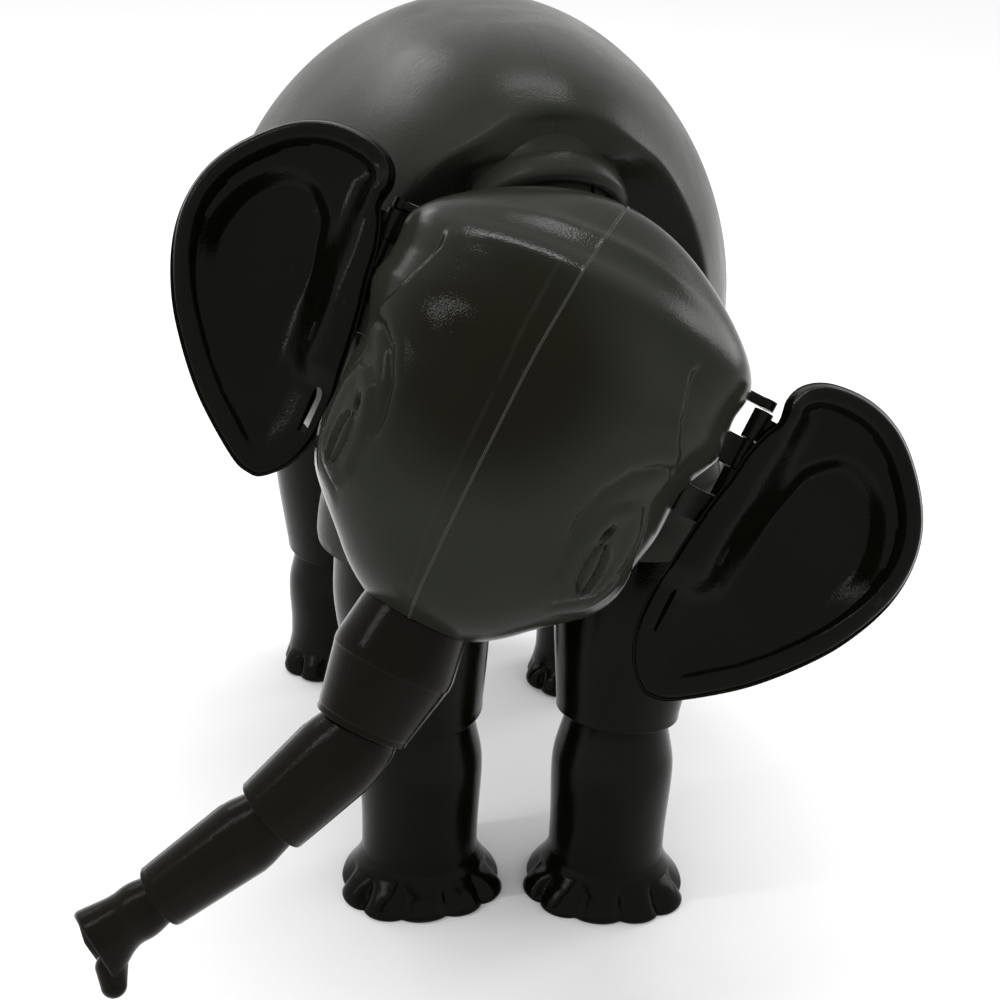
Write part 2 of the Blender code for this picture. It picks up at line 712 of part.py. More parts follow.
def head_half(name, side):
    """One half shell: wall, floor with the trunk's socket, seat for the neck's stud, ear lugs."""
    shell = head_form(name, 0, plastic())
    hollow = head_form(name + "_hollow", HEAD_WALL)
    root = trunk_places()[0][0]
    ball = TRUNK_BALL_RADII[0]
    floor_high = bulkhead_high(ball)
    size = HEAD_HALF_WIDTH * 4
    floor = box(name + "_floor", (size, size, floor_high), (0, 0, floor_high / 2), root)
    stud_at = stud_place()
    boss_depth = NECK_STUD_LENGTH - NECK_FLANGE_THICKNESS - RUNNING_GAP
    boss_radius = NECK_FLANGE_RADIUS + RUNNING_GAP
    boss = cylinder(name + "_boss", boss_radius, -boss_depth, NECK_STUD_LENGTH, stud_at)
    cut_away(hollow, floor, boss)
    cut_away(shell, hollow)
    seat = cylinder(name + "_seat", NECK_ARM_RADIUS + 2 * RUNNING_GAP, 0, NECK_STUD_LENGTH, stud_at)
    stud = NECK_STUD_RADIUS + RUNNING_GAP
    stud_hole = cylinder(name + "_stud_hole", stud, -NECK_STUD_LENGTH, OVERRUN, stud_at, None, SMALL_ROUND)
    bore = cylinder(name + "_trunk_bore", ball + RUNNING_GAP, -HEAD_HALF_HEIGHT, bulkhead_low(ball), root)
    stem = stem_radius(ball) + RUNNING_GAP
    link_hole = cylinder(name + "_link_hole", stem, 0, floor_high + OVERRUN, root, None, SMALL_ROUND)
    cut_away(shell, seat, stud_hole, bore, link_hole)
    add_ear_lugs(shell, side)
    keep_half(shell, side, head_place())
    return shell


def joint_axes(pin_axis, up, at):
    """A placing whose X lies along the pin and whose Z lies as near to up as the pin allows."""
    up = up.normalized()
    back = up.cross(pin_axis).normalized()
    return Matrix.Translation(at) @ Matrix((back.cross(up), back, up)).transposed().to_4x4()


def neck_pin_axis():
    """The neck's pin is square to both the socket and the arm."""
    socket = neck_place().to_3x3().col[2]
    arm = neck_place().translation - stud_place() @ Vector((0, 0, NECK_ARM_RADIUS))
    across = socket.cross(arm).normalized()
    return across if across.x > 0 else -across


def neck():
    """Ball in the body's socket, an arm down behind the crown, and the stud that the head turns on."""
    stud_at = stud_place()
    centre = neck_place().translation
    seat = stud_at @ Vector((0, 0, NECK_ARM_RADIUS))
    rise = centre - seat
    place = joint_axes(neck_pin_axis(), rise, centre)
    made = turned("neck", ball_profile(NECK_BALL_RADIUS, 180, 2 * BALL_STEPS), place, plastic())
    rod = cylinder("neck_arm", NECK_ARM_RADIUS, 0, rise.length, along(rise, seat))
    heel_profile = ball_profile(NECK_ARM_RADIUS, 180, BALL_STEPS + 1)
    heel = turned("neck_heel", heel_profile, Matrix.Translation(seat))
    trim = cylinder("neck_trim", 2 * NECK_ARM_RADIUS, -2 * NECK_ARM_RADIUS, RUNNING_GAP, stud_at)
    cut_away(heel, trim)
    inside = -NECK_STUD_LENGTH
    stud = cylinder("neck_stud", NECK_STUD_RADIUS, inside, NECK_ARM_RADIUS, stud_at, None, SMALL_ROUND)
    flange = cylinder("neck_flange", NECK_FLANGE_RADIUS, inside, inside + NECK_FLANGE_THICKNESS, stud_at)
    join_on(made, rod, heel, stud, flange)
    cut_ball(made, NECK_BALL_RADIUS, place)
    pin("neck_pin", NECK_BALL_RADIUS, place)
    socket_up = neck_place().to_3x3().col[2]
    link("neck_link", NECK_BALL_RADIUS, joint_axes(neck_pin_axis(), socket_up, centre))
    return made


# Ears

EAR_OUTLINE_SHARES = (
    (0.096, 0.284), (0.227, 0.368), (0.443, 0.374), (0.635, 0.333), (0.813, 0.246), (0.944, 0.145),
    (1.0, 0.043), (0.99, -0.075), (0.915, -0.20), (0.787, -0.324), (0.557, -0.476), (0.28, -0.60),
    (0.16, -0.626), (0.085, -0.617), (-0.016, -0.556), (-0.077, -0.464), (-0.08, -0.356),
    (-0.04, -0.245), (0.072, -0.16), (0.08, -0.046), (0.08, 0.09), (0.08, 0.20))


def closed_curve(points, steps):
    """A smooth closed line through points, as evenly spread steps."""
    count = len(points)
    made = []
    for step in range(steps):
        position = step * count / steps
        index = int(position)
        t = position - index
        a, b, c, d = (Vector(points[(index + k) % count]) for k in (-1, 0, 1, 2))
        bend = 2 * a - 5 * b + 4 * c - d
        twist = 3 * b - a - 3 * c + d
        made.append((2 * b + (c - a) * t + bend * t ** 2 + twist * t ** 3) / 2)
    return made


def ear_place(side):
    """The ear's hinge on the head; Z runs up the hinge and X lies along the swept ear."""
    if side > 0:
        return head_place() @ Matrix.Translation(EAR_LEFT_HINGE) @ turn_about("Z", EAR_LEFT_SWEEP)
    at = head_place() @ Matrix.Translation(EAR_RIGHT_HINGE)
    return at @ turn_about("Z", -EAR_RIGHT_SWEEP) @ turn_about("Y", -EAR_RIGHT_LEAN)


def ear_knuckles():
    """Middle heights of the hinge's five knuckles, and the length of one."""
    count = 5
    pitch = EAR_HINGE_LENGTH / count
    heights = [pitch * (index - (count - 1) / 2) for index in range(count)]
    return heights, pitch


def ear(name, side):
    """A dished plate with a raised rim, and three knuckles on short arms at its hinge."""
    corners = [Vector((x * EAR_SPAN, z * EAR_HEIGHT)) for x, z in EAR_OUTLINE_SHARES]
    outline = closed_curve(corners, EAR_OUTLINE_STEPS)
    bm = bmesh.new()
    face = bm.faces.new([bm.verts.new((side * point.x, 0, point.y)) for point in outline])
    steps = (
        (EAR_RIM_WIDTH / 2, -EAR_RIM_RISE),
        (EAR_RIM_WIDTH, EAR_DISH_DEPTH / 2),
        (EAR_SPAN / 5, EAR_DISH_DEPTH),
    )
    for width, height in steps:
        bmesh.ops.inset_region(bm, faces=[face], thickness=width, use_even_offset=True, use_boundary=True)
        for vert in face.verts:
            vert.co.y = height
    bmesh.ops.poke(bm, faces=[face])
    bmesh.ops.triangulate(bm, faces=bm.faces)
    bmesh.ops.recalc_face_normals(bm, faces=bm.faces)
    plate = from_bmesh(name, bm, ear_place(side), plastic())
    wall = plate.modifiers.new("wall", "SOLIDIFY")
    wall.thickness = EAR_THICKNESS
    wall.offset = 0
    heights, pitch = ear_knuckles()
    half = (pitch - RUNNING_GAP) / 2
    for index in (0, 2, 4):
        height = heights[index]
        tag = name + "_arm_%d" % index
        knuckle = ear_cylinder(tag + "_knuckle", EAR_KNUCKLE_RADIUS, height - half, height + half, side)
        reach = EAR_LUG_REACH + EAR_RIM_WIDTH
        arm = ear_box(tag, (reach, EAR_KNUCKLE_RADIUS * 1.5, half * 1.4), (reach / 2, 0, height), side)
        join_on(plate, arm, knuckle)
    hole = EAR_PIN_RADIUS + PIN_GAP
    cut_away(plate, ear_cylinder(name + "_hole", hole, -EAR_HINGE_LENGTH, EAR_HINGE_LENGTH, side))
    ear_cylinder(name + "_pin", EAR_PIN_RADIUS, -EAR_HINGE_LENGTH / 2, EAR_HINGE_LENGTH / 2, side, steel())
    return plate


def ear_cylinder(name, radius, low, high, side, finish=None):
    return cylinder(name, radius, low, high, ear_place(side), finish, SMALL_ROUND)


def ear_box(name, size, centre, side):
    return box(name, size, (side * centre[0], centre[1], centre[2]), ear_place(side))


def add_ear_lugs(shell, side):
    """Two knuckles on the head, between the ear's three, on short arms out of the shell."""
    heights, pitch = ear_knuckles()
    half = (pitch - RUNNING_GAP) / 2
    thickness = EAR_KNUCKLE_RADIUS * 1.5
    for index in (1, 3):
        name = shell.name + "_lug_%d" % index
        height = heights[index]
        lug = ear_cylinder(name, EAR_KNUCKLE_RADIUS, height - half, height + half, side)
        reach = HEAD_HALF_WIDTH * EAR_LUG_ROOT_SHARE
        at = ear_place(side) @ Matrix.Translation((0, 0, height))
        arm = box(name + "_arm", (reach, thickness, half * 2), (-side * reach / 2, 0, 0), at)
        join_on(shell, arm, lug)
    hole = EAR_PIN_RADIUS + PIN_GAP
    cut_away(shell, ear_cylinder(shell.name + "_ear_hole", hole, -EAR_HINGE_LENGTH, EAR_HINGE_LENGTH, side))


# Trunk

def trunk_tube(index):
    """A tube of the trunk: ball top, shoulder, long taper, hollow from its rim up."""
    place = trunk_places()[1][index]
    ball = TRUNK_BALL_RADII[index]
    shoulder = TRUNK_SHOULDER_RADII[index]
    profile = ball_profile(ball, 80)
    profile.append((shoulder, -ball * 0.55))
    name = "trunk_segment_%d" % (index + 1)
    if index < len(TRUNK_RIM_RADII):
        below = TRUNK_BALL_RADII[index + 1]
        rim = TRUNK_RIM_RADII[index]
        rim_z = -TRUNK_PITCHES[index] + rim_lift(below)
        wall = rim - below - RUNNING_GAP
        profile += tube_inside(rim, rim_z, wall, below)
        made = turned(name, profile, place, plastic())
    else:
        made = trunk_tip(name, profile, place)
    cut_ball(made, ball, place)
    pin("trunk_pin_%d" % (index + 1), ball, place)
    link("trunk_link_%d" % (index + 1), ball, trunk_places()[0][index])
    return made


def trunk_tip(name, profile, place):
    """The last tube narrows, then flares to an open nostril with a lip on its lower side."""
    profile = profile + [
        (TRUNK_TIP_WAIST, -TRUNK_TIP_LENGTH * 0.45),
        (TRUNK_TIP_WAIST * 1.12, -TRUNK_TIP_LENGTH * 0.75),
        (TRUNK_TIP_MOUTH, -TRUNK_TIP_LENGTH),
        (TRUNK_TIP_MOUTH - TRUNK_TIP_WALL, -TRUNK_TIP_LENGTH),
        (TRUNK_TIP_WAIST - TRUNK_TIP_WALL, -TRUNK_TIP_LENGTH * 0.72),
        (TRUNK_TIP_WAIST - 2 * TRUNK_TIP_WALL, -TRUNK_TIP_LENGTH * 0.50),
        (0, -TRUNK_TIP_LENGTH * 0.46),
    ]
    rough = turned(name + "_rough", profile, Matrix())
    bpy.context.view_layer.update()
    graph = bpy.context.evaluated_depsgraph_get()
    mesh = bpy.data.meshes.new_from_object(rough.evaluated_get(graph))
    bpy.data.objects.remove(rough)
    start = TRUNK_TIP_LENGTH * 0.55
    for vert in mesh.vertices:
        depth = (-vert.co.z - start) / (TRUNK_TIP_LENGTH - start)
        if depth > 0:
            side = max(0, -vert.co.y / max(TRUNK_TIP_WAIST, math.hypot(vert.co.x, vert.co.y)))
            vert.co.y -= TRUNK_TIP_LIP * side ** 2 * depth ** 2
            vert.co.z -= TRUNK_TIP_LIP * TRUNK_TIP_DROOP_SHARE * side ** 2 * depth ** 2
    mesh.name = name
    return add_object(name, mesh, place, plastic())


# Legs

def thigh(name, place, length):
    ball = HIP_BALL_RADIUS
    profile = ball_profile(ball, 84)
    profile.append((THIGH_RADIUS, -ball * 0.45))
    profile.append((THIGH_RADIUS * 0.96, -length * 0.45))
    rim_z = -length + rim_lift(KNEE_BALL_RADIUS)
    wall = KNEE_RIM_RADIUS - KNEE_BALL_RADIUS - RUNNING_GAP
    profile += tube_inside(KNEE_RIM_RADIUS, rim_z, wall, KNEE_BALL_RADIUS)
    made = turned(name, profile, place, plastic())
    cut_ball(made, ball, place)
    return made


FOOT_PROFILE_SHARES = ((1.0, 0.0), (0.72, 0.10), (0.42, 0.35), (0.22, 0.80), (0.10, 0.98))


def shin(name, place, joint, knee_z, foot_radius):
    """Lower leg and foot: ball top, round shin, and a foot that flares to its toes over a flat sole."""
    ball = KNEE_BALL_RADIUS
    profile = ball_profile(ball, 80)
    profile.append((SHIN_RADIUS, -ball * 0.62))
    profile.append((ANKLE_RADIUS, -(knee_z - FOOT_HEIGHT) * 0.8))
    profile.append((ANKLE_RADIUS, FOOT_HEIGHT - knee_z))
    for height, flare in FOOT_PROFILE_SHARES[1:]:
        profile.append((ANKLE_RADIUS + (foot_radius - ANKLE_RADIUS) * flare, FOOT_HEIGHT * height - knee_z))
    profile.append((foot_radius - FOOT_EDGE / 2, -knee_z))
    profile.append((0, -knee_z))
    rough = turned(name + "_rough", profile, Matrix(), None, FOOT_ROUND)
    bpy.context.view_layer.update()
    graph = bpy.context.evaluated_depsgraph_get()
    mesh = bpy.data.meshes.new_from_object(rough.evaluated_get(graph))
    bpy.data.objects.remove(rough)
    for vert in mesh.vertices:
        height = vert.co.z + knee_z
        radius = math.hypot(vert.co.x, vert.co.y)
        if height < FOOT_HEIGHT and radius > ANKLE_RADIUS / 2:
            low = 1 - height / FOOT_HEIGHT
            ahead = max(0, -vert.co.y / radius)
            aside = abs(vert.co.x) / radius
            squareness = (ahead ** 3 + aside ** 3) ** (-1 / 3) - 1 if ahead > 0 else 0
            vert.co.x *= 1 + squareness * low
            vert.co.y *= 1 + squareness * low
            toes = 0.5 + 0.5 * math.cos(math.atan2(vert.co.x, -vert.co.y) * 6)
            vert.co.y -= FOOT_TOE_REACH * low * ahead * (0.3 + 0.7 * toes)
    mesh.name = name
    made = add_object(name, mesh, place, plastic())
    cut_ball(made, ball, joint)
    return made


def legs():
    for leg, (side, hip, *foot) in leg_table().items():
        socket, hanger, thigh_at, link_at, knee_at, shin_at = leg_places(side, hip, *foot)
        length = (thigh_at.translation - shin_at.translation).length
        thigh("upper_leg_" + leg, thigh_at, length)
        pin("hip_pin_" + leg, HIP_BALL_RADIUS, thigh_at)
        link("knee_link_" + leg, KNEE_BALL_RADIUS, link_at)
        shin("lower_leg_" + leg, shin_at, knee_at, *hip[2:])
        pin("knee_pin_" + leg, KNEE_BALL_RADIUS, knee_at)


def build():
    clear_scene()
    body_half("body_left", 1)
    body_half("body_right", -1)
    neck()
    head_half("head_left", 1)
    head_half("head_right", -1)
    ear("ear_left", 1)
    ear("ear_right", -1)
    for index in range(len(TRUNK_LEANS)):
        trunk_tube(index)
    legs()
    tail()


build()
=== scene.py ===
# Toy elephant calf of glossy black moulded plastic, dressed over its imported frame.
import json
import math
import bpy
import numpy as np
from mathutils import Matrix, Vector

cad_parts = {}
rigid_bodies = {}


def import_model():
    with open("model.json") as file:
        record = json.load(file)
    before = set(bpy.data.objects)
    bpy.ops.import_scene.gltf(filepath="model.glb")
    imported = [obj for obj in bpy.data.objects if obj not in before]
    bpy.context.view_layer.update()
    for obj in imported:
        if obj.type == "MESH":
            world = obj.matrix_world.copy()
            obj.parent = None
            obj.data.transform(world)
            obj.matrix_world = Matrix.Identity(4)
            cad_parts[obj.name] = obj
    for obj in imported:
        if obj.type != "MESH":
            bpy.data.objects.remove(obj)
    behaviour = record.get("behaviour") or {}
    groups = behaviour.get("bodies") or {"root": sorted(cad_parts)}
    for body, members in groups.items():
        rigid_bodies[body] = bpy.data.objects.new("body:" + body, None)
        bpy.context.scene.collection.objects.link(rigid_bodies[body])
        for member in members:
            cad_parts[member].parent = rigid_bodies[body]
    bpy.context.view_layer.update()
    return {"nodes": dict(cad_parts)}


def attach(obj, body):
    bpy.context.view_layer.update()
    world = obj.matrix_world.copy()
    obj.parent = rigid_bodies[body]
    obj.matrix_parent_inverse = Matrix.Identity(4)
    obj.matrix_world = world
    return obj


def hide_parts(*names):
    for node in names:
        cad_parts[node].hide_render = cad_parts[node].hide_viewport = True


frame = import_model()
print("frame loaded")


# ---- small habits that every piece uses

def dropSelection():
    for thing in list(bpy.context.view_layer.objects.selected):
        thing.select_set(False)


def takeUp(piece):  # the only selected and active object
    dropSelection()
    piece.select_set(True)
    bpy.context.view_layer.objects.active = piece


def justAdded(name):
    piece = bpy.context.object
    piece.name = name
    piece.data.name = name
    return piece


def pointsOf(piece):
    flat = np.empty(len(piece.data.vertices) * 3)
    piece.data.vertices.foreach_get("co", flat)
    return flat.reshape(-1, 3)


def setPoints(piece, points):
    piece.data.vertices.foreach_set("co", np.ascontiguousarray(points, dtype=np.float32).ravel())
    piece.data.update()


def faceOut(piece):
    takeUp(piece)
    bpy.ops.object.mode_set(mode="EDIT")
    bpy.ops.mesh.select_all(action="SELECT")
    bpy.ops.mesh.normals_make_consistent(inside=False)
    bpy.ops.object.mode_set(mode="OBJECT")


def workIn(piece, tool, operation="DIFFERENCE"):  # boolean with a tool that is used up
    cut = piece.modifiers.new("work", "BOOLEAN")
    cut.operation = operation
    cut.solver = "MANIFOLD"
    cut.object = tool
    takeUp(piece)
    bpy.ops.object.modifier_apply(modifier="work")
    bpy.data.objects.remove(tool)


def cutAway(piece, *tools):
    for tool in tools:
        workIn(piece, tool)


def joinOn(piece, *tools):
    for tool in tools:
        workIn(piece, tool, "UNION")


def asOne(first, *others):
    joinOn(first, *others)
    return first


def turned(axis, degrees):
    return Matrix.Rotation(math.radians(degrees), 4, axis)


def moved(x, y, z):
    return Matrix.Translation((x, y, z))


def along(direction, at):  # Z axis along a direction
    return Matrix.Translation(at) @ Vector(direction).to_track_quat("Z", "Y").to_matrix().to_4x4()


def softCorners(corners, steps=5):  # (radius, height, softness) corners to a smooth outline
    line = []
    last = len(corners) - 1
    for index, (radius, height, soft) in enumerate(corners):
        here = Vector((radius, height))
        if soft == 0 or index in (0, last):
            line.append(here)
            continue
        before = Vector(corners[index - 1][:2])
        after = Vector(corners[index + 1][:2])
        start = here + (before - here).normalized() * min(soft, (before - here).length * 0.49)
        end = here + (after - here).normalized() * min(soft, (after - here).length * 0.49)
        for step in range(steps + 1):
            part = step / steps
            line.append(start * (1 - part) ** 2 + here * 2 * part * (1 - part) + end * part ** 2)
    return [(point.x, point.y) for point in line]


def spun(name, line, place, steps=96):  # a profile drawn point by point, then spun about Z
    dropSelection()
    bpy.ops.mesh.primitive_plane_add(size=0.001)
    piece = justAdded(name)
    bpy.ops.object.mode_set(mode="EDIT")
    bpy.ops.mesh.select_all(action="SELECT")
    bpy.ops.mesh.merge(type="CENTER")
    bpy.ops.transform.translate(value=(line[0][0], 0, line[0][1]))
    for (radius, height), (nextRadius, nextHeight) in zip(line, line[1:]):
        step = (nextRadius - radius, 0, nextHeight - height)
        bpy.ops.mesh.extrude_vertices_move(TRANSFORM_OT_translate={"value": step})
    bpy.ops.mesh.select_all(action="SELECT")
    bpy.ops.mesh.spin(steps=steps, angle=2 * math.pi, center=(0, 0, 0), axis=(0, 0, 1))
    bpy.ops.mesh.select_all(action="SELECT")
    bpy.ops.mesh.remove_doubles(threshold=0.000005)
    bpy.ops.mesh.normals_make_consistent(inside=False)
    bpy.ops.object.mode_set(mode="OBJECT")
    piece.data.transform(place)
    return piece


def rod(name, radius, low, high, place, steps=48):
    dropSelection()
    bpy.ops.mesh.primitive_cylinder_add(vertices=steps, radius=radius, depth=high - low, location=(0, 0, 0))
    piece = justAdded(name)
    piece.data.transform(place @ moved(0, 0, (high + low) / 2))
    return piece


def crossRod(name, radius, reach, place, steps=32):  # along the place's X
    return rod(name, radius, -reach, reach, place @ turned("Y", 90), steps)


def block(name, size, middle, place, edge=0):
    dropSelection()
    bpy.ops.mesh.primitive_cube_add(size=1)
    piece = justAdded(name)
    piece.data.transform(place @ moved(*middle) @ Matrix.Diagonal((*size, 1)))
    if edge:
        takeUp(piece)
        bpy.ops.object.mode_set(mode="EDIT")
        bpy.ops.mesh.select_all(action="SELECT")
        bpy.ops.mesh.bevel(offset=edge, segments=3, affect="EDGES")
        bpy.ops.object.mode_set(mode="OBJECT")
    return piece


def ball(name, radius, at, segments=64, rings=32):
    dropSelection()
    bpy.ops.mesh.primitive_uv_sphere_add(segments=segments, ring_count=rings, radius=radius)
    piece = justAdded(name)
    piece.data.transform(Matrix.Translation(at))
    return piece


def rowsAndColumns(piece, segments, rings):  # where each vertex of a unit ball lies in its grid
    points = pointsOf(piece)
    row = np.rint(np.arccos(np.clip(points[:, 2], -1, 1)) / math.pi * rings).astype(int)
    column = np.rint(np.arctan2(points[:, 1], points[:, 0]) / (2 * math.pi) * segments).astype(int) % segments
    return row, column


def frontAngles(segments, crowd):  # fine steps in front, at -90 degrees, and wider ones behind
    even = np.linspace(0, 1, segments, endpoint=False)
    return -math.pi / 2 + 2 * math.pi * even - crowd * np.sin(2 * math.pi * even)


def gridBall(name, segments, rings, grid):  # a ball whose rings are moved onto a grid of points
    dropSelection()
    bpy.ops.mesh.primitive_uv_sphere_add(segments=segments, ring_count=rings, radius=1)
    piece = justAdded(name)
    row, column = rowsAndColumns(piece, segments, rings)
    setPoints(piece, grid[row, column])
    faceOut(piece)
    return piece


def roundShare(position, power):
    return np.clip(1 - np.abs(position) ** power, 0, 1) ** (1 / power)


def easeTable(entries, position):  # smooth reading of (position, value) pairs, falling positions
    position = np.asarray(position, dtype=float)
    value = np.full(position.shape, float(entries[0][1]))
    for (high, highValue), (low, lowValue) in zip(entries, entries[1:]):
        part = np.clip((high - position) / (high - low), 0, 1)
        value = np.where(position <= high, highValue + (lowValue - highValue) * part * part * (3 - 2 * part), value)
    return value


def smoothMax(a, b, blend):
    gap = np.clip(blend - np.abs(a - b), 0, None) / blend
    return np.maximum(a, b) + gap * gap * blend / 4


def smoothMin(a, b, blend):
    return -smoothMax(-a, -b, blend)


def bump(distance, width):
    return np.exp(-(distance / width) ** 2)


def rampUp(value, start, end):
    part = np.clip((value - start) / (end - start), 0, 1)
    return part * part * (3 - 2 * part)


def lineDistance(x, y, corners):  # distance to a line of corners, and the share of the way along it
    best = np.full(x.shape, 1e9)
    share = np.zeros(x.shape)
    count = len(corners) - 1
    for index, ((ax, ay), (bx, by)) in enumerate(zip(corners, corners[1:])):
        length = (bx - ax) ** 2 + (by - ay) ** 2
        part = np.clip(((x - ax) * (bx - ax) + (y - ay) * (by - ay)) / length, 0, 1)
        away = np.hypot(x - ax - part * (bx - ax), y - ay - part * (by - ay))
        closer = away < best
        best = np.where(closer, away, best)
        share = np.where(closer, (index + part) / count, share)
    return best, share


# ---- places, the same as the frame's

stance = {"x": 0.0162, "y": 0.0010}
joints = {"gap": 0.0003, "tongue": 0.28, "pin": 0.14, "rimLift": 0.32, "bulkhead": 0.16, "stem": 0.22, "slot": 0.76,
          "pinHole": 0.952}  # the pin hole stops under the skin of the ball
standing = moved(stance["x"], stance["y"], 0)


def bulkheadLow(radius):
    return radius + 2 * joints["gap"]


def bulkheadHigh(radius):
    return bulkheadLow(radius) + radius * joints["bulkhead"] * 1.2


def upright(pinAxis, at):
    pinAxis = pinAxis.normalized()
    back = Vector((0, 0, 1)).cross(pinAxis).normalized()
    return Matrix.Translation(at) @ Matrix((pinAxis, back, pinAxis.cross(back))).transposed().to_4x4()


def cutBall(piece, radius, place):  # slot and pin hole of a ball joint
    gap = joints["gap"]
    width = radius * joints["tongue"] * 2 + 2 * gap
    low = -2 * radius * joints["pin"] - gap
    high = radius + 0.004
    slot = block("slot", (width, 2 * radius * joints["slot"], high - low), (0, 0, (high + low) / 2), place)
    hole = crossRod("hole", radius * joints["pin"] + gap, radius * joints["pinHole"], place)
    cutAway(piece, asOne(slot, hole))


def ballLine(radius, toAngle, steps):
    angles = [math.radians(toAngle * index / steps) for index in range(steps + 1)]
    return [(radius * math.sin(angle), radius * math.cos(angle)) for angle in angles]


def tubeInside(rim, rimZ, wall, below):  # bore, bulkhead and the link's chamber, from the rim up
    gap = joints["gap"]
    centre = rimZ - below * joints["rimLift"]
    hole = below * joints["stem"] + gap
    chamber = hole + below * joints["bulkhead"] + gap
    high = centre + bulkheadHigh(below)
    roof = high + below * joints["bulkhead"] + 3 * gap
    edge = wall * 0.35
    return [
        (rim, rimZ + 0.0012, 0), (rim, rimZ, edge), (rim - wall, rimZ, edge), (rim - wall, rimZ + 0.0012, 0),
        (rim - wall, centre + bulkheadLow(below), 0), (hole, centre + bulkheadLow(below), 0),
        (hole, high, 0), (chamber, high, 0), (chamber, roof, 0), (0, roof, 0)]


headForm = {
    "at": (-0.0107, -0.0838, 0.1292), "yaw": -27.00, "roll": 20.73, "pitch": -28.37,
    "halfHeight": 0.0430, "halfWidth": 0.0360, "front": 0.0290, "back": 0.0200, "wall": 0.0020,
    "width": ((1.0, 1.05), (0.62, 1.17), (0.30, 1.07), (0.0, 0.93), (-0.25, 0.95), (-0.55, 0.98), (-0.80, 0.85),
              (-1.0, 0.85)),
    "frontShare": ((1.0, 0.62), (0.55, 0.95), (0.20, 1.05), (-0.20, 0.98), (-0.60, 0.98), (-1.0, 1.10)),
    "backShare": ((1.0, 0.20), (0.60, 0.55), (0.20, 0.95), (-0.25, 1.05), (-0.70, 0.85), (-1.0, 0.70)),
    "segments": 460, "rings": 310, "seam": 0.00010,
}
headPlace = (standing @ moved(*headForm["at"]) @ turned("Z", headForm["yaw"])
             @ turned("Y", headForm["roll"]) @ turned("X", headForm["pitch"]))

trunkForm = {
    "planeTurn": 4.0, "rootDrop": 0.0430, "pitches": (0.0225, 0.0228, 0.0245), "leans": (-1.6, 19.9, 26.9, 29.4),
    "balls": (0.0106, 0.0076, 0.0063, 0.0048), "shoulders": (0.0116, 0.0083, 0.0072, 0.0055),
    "rims": (0.0089, 0.0076, 0.0061),
}


def trunkPlaces():
    plane = headPlace @ turned("Z", trunkForm["planeTurn"])
    centre = Vector((0, 0, -trunkForm["rootDrop"]))
    links = []
    tubes = []
    leanAbove = 0
    for index, lean in enumerate(trunkForm["leans"]):
        at = plane @ Matrix.Translation(centre)
        links.append(at @ turned("Y", leanAbove) @ turned("Z", 90))
        tubes.append(at @ turned("Y", lean) @ turned("Z", 90))
        leanAbove = lean
        if index < len(trunkForm["pitches"]):
            centre = centre + turned("Y", lean) @ Vector((0, 0, -trunkForm["pitches"][index]))
    return links, tubes


# ---- plastics and steel

def nodeOf(tree, kind, **settings):
    made = tree.nodes.new(kind)
    for key, value in settings.items():
        if key in made.inputs:
            made.inputs[key].default_value = value
        else:
            setattr(made, key, value)
    return made


def noise(tree, place, **settings):
    made = nodeOf(tree, "ShaderNodeTexNoise", **settings)
    tree.links.new(place, made.inputs["Vector"])
    return made.outputs["Fac"]


def eased(tree, source, low, high, toLow=0, toHigh=1, smooth=False):
    made = nodeOf(tree, "ShaderNodeMapRange", interpolation_type="SMOOTHSTEP" if smooth else "LINEAR")
    for key, value in (("From Min", low), ("From Max", high), ("To Min", toLow), ("To Max", toHigh)):
        made.inputs[key].default_value = value
    tree.links.new(source, made.inputs["Value"])
    return made.outputs["Result"]


def overlaid(tree, share, under, colour):  # a colour laid over another by a share
    mix = nodeOf(tree, "ShaderNodeMix", data_type="RGBA")
    tree.links.new(share, mix.inputs["Factor"])
    tree.links.new(under, mix.inputs[6])
    mix.inputs[7].default_value = (*colour, 1)
    return mix.outputs[2]


def tinted(tree, share, look, positions):
    ramp = nodeOf(tree, "ShaderNodeValToRGB")
    for index, key in enumerate(("dark", "light")):
        ramp.color_ramp.elements[index].position = positions[index]
        ramp.color_ramp.elements[index].color = (*look[key], 1)
    tree.links.new(share, ramp.inputs["Fac"])
    return ramp.outputs["Color"]


def besideSeam(tree, place):  # distance from the head's middle plane
    normal = headPlace.to_3x3().col[0]
    plane = nodeOf(tree, "ShaderNodeVectorMath", operation="DOT_PRODUCT")
    plane.inputs[1].default_value = normal
    tree.links.new(place, plane.inputs[0])
    offset = nodeOf(tree, "ShaderNodeMath", operation="SUBTRACT")
    offset.inputs[1].default_value = normal.dot(headPlace.translation)
    tree.links.new(plane.outputs["Value"], offset.inputs[0])
    beside = nodeOf(tree, "ShaderNodeMath", operation="ABSOLUTE")
    tree.links.new(offset.outputs[0], beside.inputs[0])
    return beside.outputs[0]


